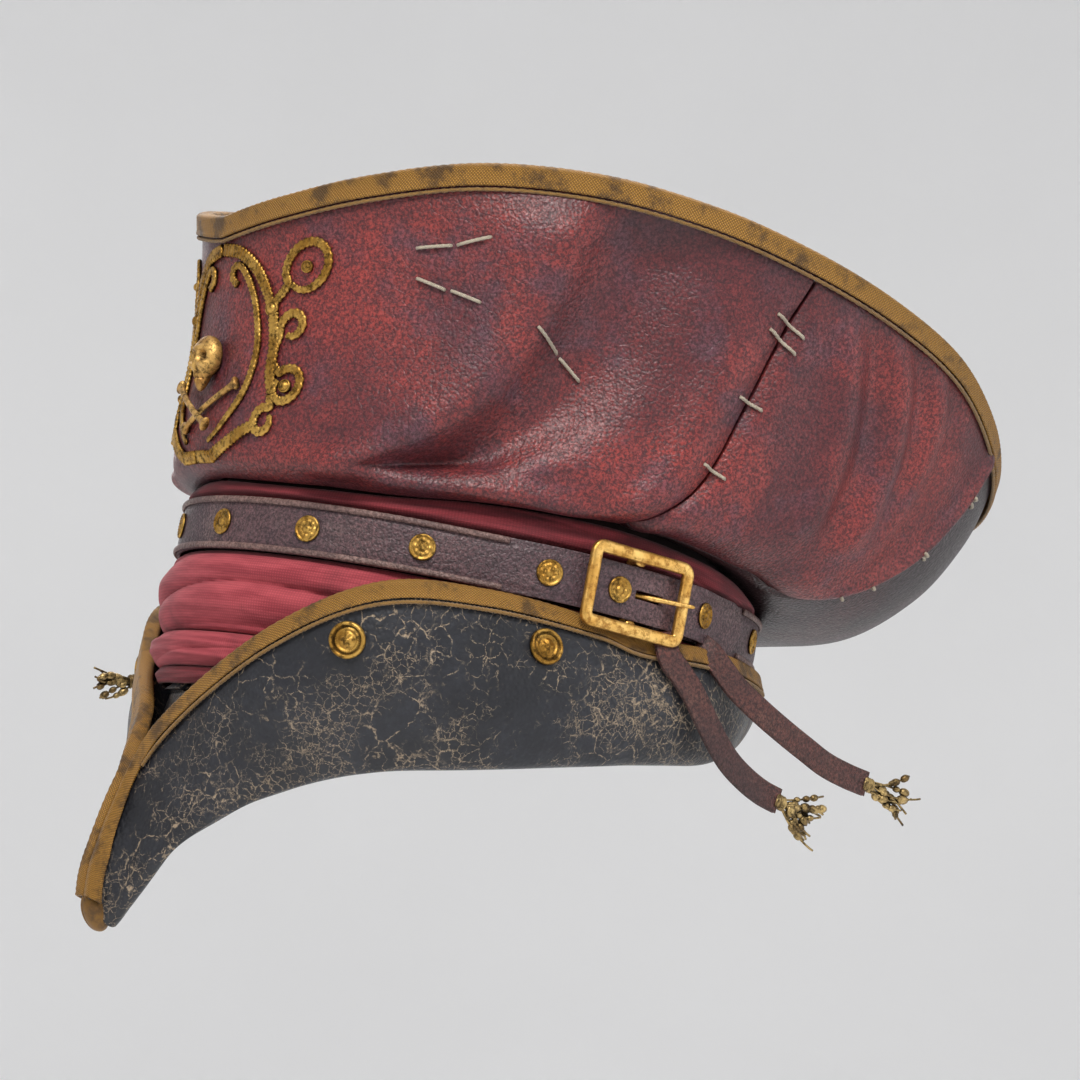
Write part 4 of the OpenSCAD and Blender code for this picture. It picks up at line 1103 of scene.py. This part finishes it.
def make_buckle():
    build = Builder()
    half_l, half_h, r = (BUCKLE_L - BAR_W) / 2, (BUCKLE_H - BAR_W) / 2, 2.6
    outline = []
    for cx, cz, start in ((1, 1, 0), (-1, 1, 90), (-1, -1, 180), (1, -1, 270)):
        for a in np.radians(np.linspace(start, start + 90, 9)):
            outline.append((cx * (half_l - r) + r * math.cos(a), cz * (half_h - r) + r * math.sin(a)))
    outline = np.array(outline + [outline[0]])
    along = np.concatenate([[0], np.cumsum(np.linalg.norm(np.diff(outline, axis=0), axis=1))])
    where = np.linspace(0, along[-1], 221)[:-1]
    s, z = (np.interp(where, along, outline[:, i]) for i in (0, 1))
    route = buckle_pt(s, BAR_N + BAR_T / 2, z)
    normals = np.tile(BUCKLE_OUT, (len(route), 1))
    build.tube(route, BAR_W / 2, normals, BAR_T / BAR_W, 20, closed=True, shape=squarish)
    bar = buckle_pt(0, PIVOT_N, np.linspace(-12.9, 12.9, 20))
    build.tube(bar, 1.2, np.tile(BUCKLE_OUT, (20, 1)), 1, 20)
    for side in (-1, 1):
        cheek = buckle_pt(0, np.linspace(PIVOT_N - 1.1, BAR_N + 0.4, 8), side * 11.45)
        build.tube(cheek, 1.9, np.tile([0.0, 0, 1], (8, 1)), 0.8, 16, shape=squarish)
    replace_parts(build.make("buckle_frame_cast", buckle_metal, "buckle_brass"), "buckle_frame")


def make_prong():
    tilt = math.atan2(BAR_N + BAR_T + PRONG_D / 2 + 0.3 - PIVOT_N, BUCKLE_L / 2 - BAR_W)
    run = (BUCKLE_L / 2 - 0.2) / math.cos(tilt)
    build = Builder()
    f = np.linspace(0.095, 1, 40)
    s, n = f * run * math.cos(tilt), PIVOT_N + f * run * math.sin(tilt)
    path = buckle_pt(s, n, 0)
    taper = PRONG_D / 2 * (1.0 - 0.28 * smooth((f - 0.3) / 0.7)) * np.sqrt(np.clip((1.0 - f) / 0.03, 0.05, 1))
    normals = np.tile(BUCKLE_OUT, (40, 1))
    build.tube(path, taper, normals, 1, 16)
    a = np.radians(np.arange(0, 360, 10))[:, None]
    z = np.array([-2.0, -1.85, -1.2, 0, 1.2, 1.85, 2.0])[None, :]
    outer_r = 2.55 - np.array([0.22, 0.05, 0, 0, 0, 0.05, 0.22])[None, :]
    outer = buckle_pt(outer_r * np.cos(a), PIVOT_N + outer_r * np.sin(a), z)
    inner = buckle_pt(1.25 * np.cos(a) + 0 * z, PIVOT_N + 1.25 * np.sin(a) + 0 * z, z)
    build.shell(outer, inner, closed=True)
    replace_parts(build.make("buckle_prong_forged", buckle_metal, "buckle_brass", body="prong"), "buckle_prong")


make_strap()
make_welts()
make_chape()
make_studs()
make_buckle()
make_prong()


# ---- Brim ----
BRIM_FOLD = [
    (-120, 1, -80), (-118, 9, -73), (-114, 24, -54), (-103, 42, -37), (-87, 60, -24), (-68, 77, -14),
    (-39, 92, -6), (5, 98, 4), (26, 96.5, 8), (52, 88, 12), (74, 75, 19.5), (98, 48, 31), (108, 22, 35),
    (112, 0.5, 36.5),
]
BRIM_EDGE = [
    (-130, 1, -84), (-131, 1, -62), (-123, 1.5, -29), (-117, 22, -2), (-107, 60, 26), (-86, 87, 45),
    (-50, 95.5, 50.3), (-9, 97.2, 49.6), (11, 96.5, 46.8), (43, 91.5, 49.8), (72, 76, 50.8), (96, 53, 50.5),
    (111, 24, 50), (115, 0.5, 49.5),
]
FAR_EDGE = BRIM_EDGE[:3] + [(-111, 22, -7), (-98, 57, 14), (-84, 82, 38)] + BRIM_EDGE[6:]
BRIM_T_STATIONS = [180, 172, 163, 152, 138, 124, 106, 88, 76, 60, 44, 26, 11, 0]
LAST_U = len(BRIM_T_STATIONS) - 1


def brim_raw(u, v, far):
    """Point of the flap's inner face at station u round the hat and v from its root, 0, to its edge, 4."""
    u, v = np.broadcast_arrays(np.asarray(u, float), np.asarray(v, float))
    t = spline(np.array(BRIM_T_STATIONS, float), u)
    low = spline(BRIM_FOLD, u)
    edge = spline(FAR_EDGE if far else BRIM_EDGE, u)
    if far:
        low = low + (11 * smooth((u - 4) / 3) * smooth((LAST_U - u) / 4))[..., None] * np.array([0, 0, 1.0])
    root_out = FOUND_OUT + BRIM_T + 0.6
    c, s = np.cos(np.radians(t)), np.sin(np.radians(t))
    root = np.stack([(HEAD_A + root_out) * c, (HEAD_B + root_out) * s, open_z(t) + 4], -1)
    throat = root - np.array([0, 0, 5.0])
    out = unit(np.stack([edge[..., 0] / HEAD_A**2, edge[..., 1] / HEAD_B**2, 0 * u], -1))
    swell = 6 * smooth((u - 1) / 4) * np.where(u > 8, 1 - 0.4 * smooth((u - 8) / 3), 1)
    middle = (low + edge) / 2 + swell[..., None] * out
    knots = np.stack([root, throat, low, middle, edge], -2)
    k = np.clip(np.floor(v), 0, 3).astype(int)
    f = (v - k)[..., None]
    a, b, c2, d = (
        np.take_along_axis(knots, np.clip(k + i, 0, 4)[..., None, None], -2)[..., 0, :] for i in (-1, 0, 1, 2))
    p = 0.5 * (2 * b + (c2 - a) * f + (2 * a - 5 * b + 4 * c2 - d) * f * f + (3 * b - a - 3 * c2 + d) * f**3)
    p[..., 1] = np.maximum(0.4, p[..., 1])
    return p


def brim_normal(u, v, far):
    e = 0.03
    uu = np.clip(np.asarray(u, float), e, LAST_U - e)
    vv = np.clip(np.asarray(v, float), e, 4 - e)
    uu, vv = np.broadcast_arrays(uu, vv)
    to_edge = brim_raw(uu, vv + e, far) - brim_raw(uu, vv - e, far)
    round_hat = brim_raw(uu + e, vv, far) - brim_raw(uu - e, vv, far)
    return unit(np.cross(to_edge, round_hat))


def side_of(p, far):
    return p if far else p * np.array([1, -1, 1])


def brim_dents(u, v):
    away = smooth((3.7 - v) / 0.5) * smooth((v - 1.3) / 0.5)
    broad = ripple(u * 1.5, v * 1.6, seed=51, waves=6)
    return away * (0.9 * broad + 0.35 * ripple(u * 4, v * 4, seed=52, waves=6))


def brim_pt(u, v, out, far):
    p = brim_raw(u, v, far) + (out + brim_dents(u, v))[..., None] * brim_normal(u, v, far)
    p[..., 1] = np.maximum(0.4, p[..., 1])
    return side_of(p, far)


def make_brim(far):
    hand = "right" if far else "left"
    u = np.concatenate([[0.4], np.linspace(0.6, LAST_U, 260)])[:, None]
    v = np.concatenate([np.linspace(0, 1.6, 16), np.linspace(1.66, 4, 54)])[None, :]
    uvs = np.stack(np.broadcast_arrays(u * 30, v * 26), -1)
    build = Builder()
    build.shell(brim_pt(u, v, BRIM_T, far), brim_pt(u, v, 0, far), uvs=uvs)
    piece = build.make(f"brim_{hand}_leather", brim_skin, "brim_leather")
    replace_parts(soften_edges(piece, 0.4), f"brim_{hand}")


def add_tip_cap(build, far):
    """The end of the braid, folded round the brim's front point: a solid cap that the leather runs into."""
    middle, long, wide, thick = np.array([-126.2, 0.35, -81.0]), 7.6, 4.6, 4.6
    along = unit(np.array([0.55, 0, -0.83]))
    across = np.array([-along[2], 0, along[0]])
    turn = np.radians(np.linspace(0, 180, 25))[None, :]
    rise = np.radians(np.linspace(2, 178, 25))[:, None]
    rings = middle + long * np.cos(rise)[..., None] * along
    rings = rings + (wide * np.sin(rise) * np.cos(turn))[..., None] * across
    rings = rings + (thick * np.sin(rise) * np.sin(turn))[..., None] * np.array([0, 1.0, 0])
    build.loops(side_of(rings, far))


def make_brim_braid(far):
    hand = "right" if far else "left"
    u = np.linspace(0.42, LAST_U, 640)
    p, n = brim_raw(u, 4, far), brim_normal(u, 4, far)
    down = unit(brim_raw(u, 3.7, far) - p)
    ease = np.ones(71) / 71
    n, down = (
        unit(np.stack([np.convolve(np.pad(a[:, i], 35, mode="edge"), ease, "valid") for i in range(3)], -1))
        for a in (n, down))
    play = 0.6 + 1.3 * smooth(3 - u)
    edge = p + n * (play - 0.6)[:, None] * 0.5
    outer, inner = over_edge(edge, n, down, -0.5, BRIM_T + 0.6, BRIM_BRAID_W, 3.0, 1.2)
    for grid in (outer, inner):
        grid[..., 1] = np.maximum(0.4, grid[..., 1])
    build = Builder()
    build.shell(side_of(add_selvedges(outer, 0.7), far), side_of(inner, far), uvs=braid_uv(len(u), 0.7))
    add_tip_cap(build, far)
    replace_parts(build.make(f"brim_braid_{hand}_woven", braid_gold, "old_gold_braid"), f"brim_braid_{hand}")
    u = np.linspace(2.2, LAST_U, 1500)
    p = brim_raw(u, 4, far)
    down = unit(brim_raw(u, 3.7, far) - p)
    n = brim_normal(u, 3.8, far)
    route = side_of(p + down * (BRIM_BRAID_W + 1.6) + n * (BRIM_T + CORD_D / 2 + 0.6), far)
    build = Builder()
    build.tube(route, CORD_D / 2, side_of(n, far), 1, 8, shape=twisted)
    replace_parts(build.make(f"brim_piping_{hand}_cord", cord_gold, "gold_cord"), f"brim_piping_{hand}")


def button_marks(radius, height, angle):
    """A plain cross of four lobes in a button's middle, and fine notches round its rings."""
    lobes = 0.35 * np.cos(4 * angle) * bell(radius - 1.6, 0.8)
    return lobes + 0.10 * np.cos(36 * angle) * bell(radius - 4.0, 0.5)


def make_buttons(far):
    hand = "right" if far else "left"
    profile = [
        (6.5, 0.0), (6.5, 0.7), (6.35, 1.2), (6.0, 1.65), (5.6, 1.75), (5.2, 1.5), (4.95, 0.7), (4.6, 0.6),
        (4.2, 1.3), (3.9, 1.4), (3.6, 1.25), (3.3, 0.95), (3.0, 0.95), (2.6, 1.2), (2.2, 1.5), (1.8, 1.7),
        (1.3, 1.9), (0.8, 2.1), (0.4, 2.2), (0.1, 2.22),
    ]
    build = Builder()
    v = 3.2 if far else 3.4
    for u in (4.7, 6.5):
        n = brim_normal(u, v, far)
        place = brim_raw(u, v, far) + n * (BRIM_T + 0.25 + float(brim_dents(u, v)))
        build.lathe(side_of(place, far), side_of(n, far), (0, 0, 1), profile, 72, button_marks)
    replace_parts(build.make(f"brim_buttons_{hand}_cast", brass, "antique_brass"), f"brim_buttons_{hand}")


for far_side in (False, True):
    make_brim(far_side)
    make_brim_braid(far_side)
    make_buttons(far_side)


# ---- Emblem ----
FRONT_RINGS = np.linspace(2, 6, 200)
FRONT_HEIGHTS = crown_pt(FRONT_RINGS, 180)[:, 2]


def emblem_k(h):
    return np.interp(h, FRONT_HEIGHTS, FRONT_RINGS)


def emblem_pt(e, h, out=0.0):
    """Point at e millimetres from the front's centreline and height h, standing off the leather by out."""
    t = 180 + np.degrees(np.asarray(e, float) / 118)
    return leather_pt(emblem_k(h), t, np.asarray(out, float))


def emblem_n(e, h):
    return crown_normal(emblem_k(h), 180 + np.degrees(np.asarray(e, float) / 118))


def beaded_band(i, angle):
    """Cross-section of a cast band: beaded edges and a groove down its middle."""
    edge = bell(np.abs(np.cos(angle)) - 1, 0.25)
    top = bell(np.sin(angle) - 1, 0.12)
    shoulder = bell(np.abs(np.cos(angle)) - 0.55, 0.25)
    return 1 - 0.45 * top + np.cos(i * 1.45) * (0.12 * edge + 0.18 * shoulder)


def add_band(build, route, width, height, mirror, taper=0.0):
    run = even_run(route, 0.42)
    e, h = run[:, 0] * mirror, run[:, 1]
    path = emblem_pt(e, h, height * 0.42)
    ends = 1 - taper * smooth((np.linspace(0, 1, len(run)) - 0.72) / 0.28)
    build.tube(path, width / 2 * ends, emblem_n(e, h), height / width, 14, shape=beaded_band)


def scroll(centre, r0, r1, start, turn):
    a = np.radians(start + turn * np.linspace(0, 1, 16))
    r = np.linspace(r0, r1, 16)
    return [(centre[0] + q * math.cos(b), centre[1] + q * math.sin(b)) for q, b in zip(r, a)]


FRAME_BANDS = [
    [(1.2, 161), (11, 158), (20, 151), (25.5, 143.5), (28.5, 138)],
    [(30.5, 134), (33, 124), (34.5, 114), (38, 106.5)],
    [(1.2, 82), (10, 85), (19, 89), (28, 94), (34, 96.5)],
    [(10, 147), (7, 150), (8, 153.5), (12, 153), (17, 147), (22, 137), (25.5, 122), (24, 107), (16, 96),
     (9, 90.5)],
]
SCROLLS = [
    [(30.5, 138)] + scroll((42, 148), 8.4, 7.2, 215, -350),
    [(33.5, 121)] + scroll((39.5, 129), 5.2, 3.0, 205, -330),
    [(34.5, 117)] + scroll((42.5, 109), 6.2, 4.2, 130, -340),
    [(37.5, 106)] + scroll((37, 97.5), 4.8, 2.8, 70, 330),
]


def make_emblem():
    frame_build, scroll_build, boss_build = Builder(), Builder(), Builder()
    dome = [
        (1.0, 0.0), (1.0, 0.35), (0.93, 0.6), (0.82, 0.62), (0.72, 0.5), (0.6, 0.72), (0.45, 0.9), (0.25, 1.0),
        (0.06, 1.03),
    ]
    for mirror in (-1, 1):
        for i, band in enumerate(FRAME_BANDS):
            add_band(frame_build, band, 2.8 if i == 3 else 4.6, 2.3, mirror, 0.35 if i == 3 else 0.1)
        for band in SCROLLS:
            add_band(scroll_build, band, 3.4, 2.1, mirror, 0.3)
        for e, h, r in ((29.5, 136, 2.9), (42, 148, 2.3), (42.5, 109, 2.5)):
            n = emblem_n(mirror * e, h)
            turned = [(a * r, b * 2.3) for a, b in dome]
            boss_build.lathe(emblem_pt(mirror * e, h, 0.3), n, (0, 0, 1), turned, 32)
    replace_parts(frame_build.make("emblem_frame_cast", brass, "antique_brass"), "emblem_frame")
    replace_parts(scroll_build.make("emblem_scrolls_cast", brass, "antique_brass"), "emblem_scrolls")
    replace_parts(boss_build.make("emblem_bosses_cast", brass, "antique_brass"), "emblem_bosses")


# Sockets, nose, cheekbones and brow: place, half sizes, and depth below (-) or above (+) the face
SKULL_MARKS = (
    (3.0, -0.4, 2.2, 2.1, -4.0), (-3.0, -0.4, 2.2, 2.1, -4.0), (0, -4.4, 1.2, 1.6, -3.0),
    (5.0, -3.4, 2.0, 1.2, 0.9), (-5.0, -3.4, 2.0, 1.2, 0.9), (0, 2.6, 5.5, 1.1, 0.6),
)


def make_skull():
    """A plain skull: round brow, two sockets, a nose hole and a row of teeth."""
    theta = np.linspace(0.02, math.pi - 0.02, 90)[:, None]
    phi = np.linspace(0, 2 * math.pi, 121)[None, :-1]
    x = np.sin(theta) * np.sin(phi)
    y = np.cos(theta) + 0 * phi
    z = np.sin(theta) * np.cos(phi)
    up = np.where(y > 0, y * 8.2, y * 12.5)
    jaw = smooth((-up - 2.5) / 5.0)
    across = x * (8.0 - 3.4 * jaw)
    deep = z * (5.0 - 1.5 * jaw)
    face = smooth(z / 0.35)
    for x0, y0, rx, ry, depth in SKULL_MARKS:
        deep = deep + face * depth * np.exp(-(((across - x0) / rx) ** 2 + ((up - y0) / ry) ** 2) ** 1.6)
    teeth = bell(up + 8.0, 1.7) * (0.45 * np.cos(across * 3.6)) - 0.7 * bell(up + 8.0, 0.35)
    deep = deep + face * teeth
    n = emblem_n(0, 121)
    side = unit(np.cross(np.array([0, 0, 1.0]), n))
    rise = np.cross(n, side)
    middle = emblem_pt(0, 121, 3.9)
    rings = middle + across[..., None] * side + up[..., None] * rise + deep[..., None] * n
    build = Builder()
    build.loops(rings)
    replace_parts(build.make("emblem_skull_cast", gilt, "bone_gilt"), "emblem_skull")


def make_crossbones():
    build = Builder()
    for mirror, lift in ((1, 1.5), (-1, 4.0)):
        q = np.linspace(-11, 20, 110)
        e, h = q * mirror, 101 + q * 0.5
        share = (q + 11) / 31
        knob = 0.9 * bell(share - 0.02, 0.035) + 0.9 * bell(share - 0.98, 0.035)
        shaft = 1.15 + knob + 0.25 * (2 * share - 1) ** 2
        build.tube(emblem_pt(e, h, lift), shaft, emblem_n(e, h), 0.85, 16,
                   shape=lambda i, a: 1 + 0.22 * np.cos(2 * a) * knob[i.ravel()][:, None])
    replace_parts(build.make("emblem_crossbones_cast", gilt, "bone_gilt"), "emblem_crossbones")


make_emblem()
make_skull()
make_crossbones()


# ---- Floor and light ----
def make_stage():
    """A pale floor that turns up into a round wall far from the hat."""
    paper = Nodes("pale_paper")
    tone = paper.mix(paper.steps(paper.noise(1.5, 3), 0.3, 0.7), (0.86, 0.86, 0.86), (0.88, 0.88, 0.88))
    paper.finish(tone, 0.9)
    profile = [(0.001, 0), (1500, 0), (3000, 0)]
    for a in np.radians(np.linspace(9, 90, 10)):
        profile.append((3000 + 1500 * math.sin(a), 1500 - 1500 * math.cos(a)))
    profile += [(4500, 3000), (4500, 5200)]
    angle = np.radians(np.arange(0, 360, 5))
    verts = [(r * math.cos(a), r * math.sin(a), z - 900) for r, z in profile for a in angle]
    m = len(angle)
    faces = [
        (i * m + j, i * m + (j + 1) % m, (i + 1) * m + (j + 1) % m, (i + 1) * m + j)
        for i in range(len(profile) - 1) for j in range(m)
    ]
    mesh = bpy.data.meshes.new("floor")
    mesh.from_pydata((np.array(verts) * MM).tolist(), [], faces)
    mesh.polygons.foreach_set("use_smooth", [True] * len(faces))
    mesh.materials.append(paper.material)
    floor = bpy.data.objects.new("floor", mesh)
    bpy.context.scene.collection.objects.link(floor)


def make_light(name, place, aim, size, power, tint=(1, 1, 1)):
    data = bpy.data.lights.new(name, "AREA")
    data.size = size
    data.energy = power
    data.color = tint
    light = bpy.data.objects.new(name, data)
    light.location = place
    light.rotation_euler = (Vector(aim) - Vector(place)).to_track_quat("-Z", "Y").to_euler()
    bpy.context.scene.collection.objects.link(light)


make_stage()
HAT_MIDDLE = (0.03, 0, 0.09)
make_light("key", (-1.2, -1.6, 1.9), HAT_MIDDLE, 0.8, 66, (1, 0.98, 0.95))
make_light("fill", (1.6, -1.6, 0.5), HAT_MIDDLE, 1.6, 9, (0.95, 0.97, 1))
make_light("top", (0.2, 0.4, 2.2), HAT_MIDDLE, 1.6, 27)
make_light("back", (0.8, 2.0, 0.9), HAT_MIDDLE, 1.4, 20)
world = bpy.data.worlds.new("studio")
world.use_nodes = True
world.node_tree.nodes["Background"].inputs["Color"].default_value = (0.95, 0.96, 1, 1)
world.node_tree.nodes["Background"].inputs["Strength"].default_value = 0.46
bpy.context.scene.world = world
bpy.context.scene.view_settings.view_transform = "Standard"
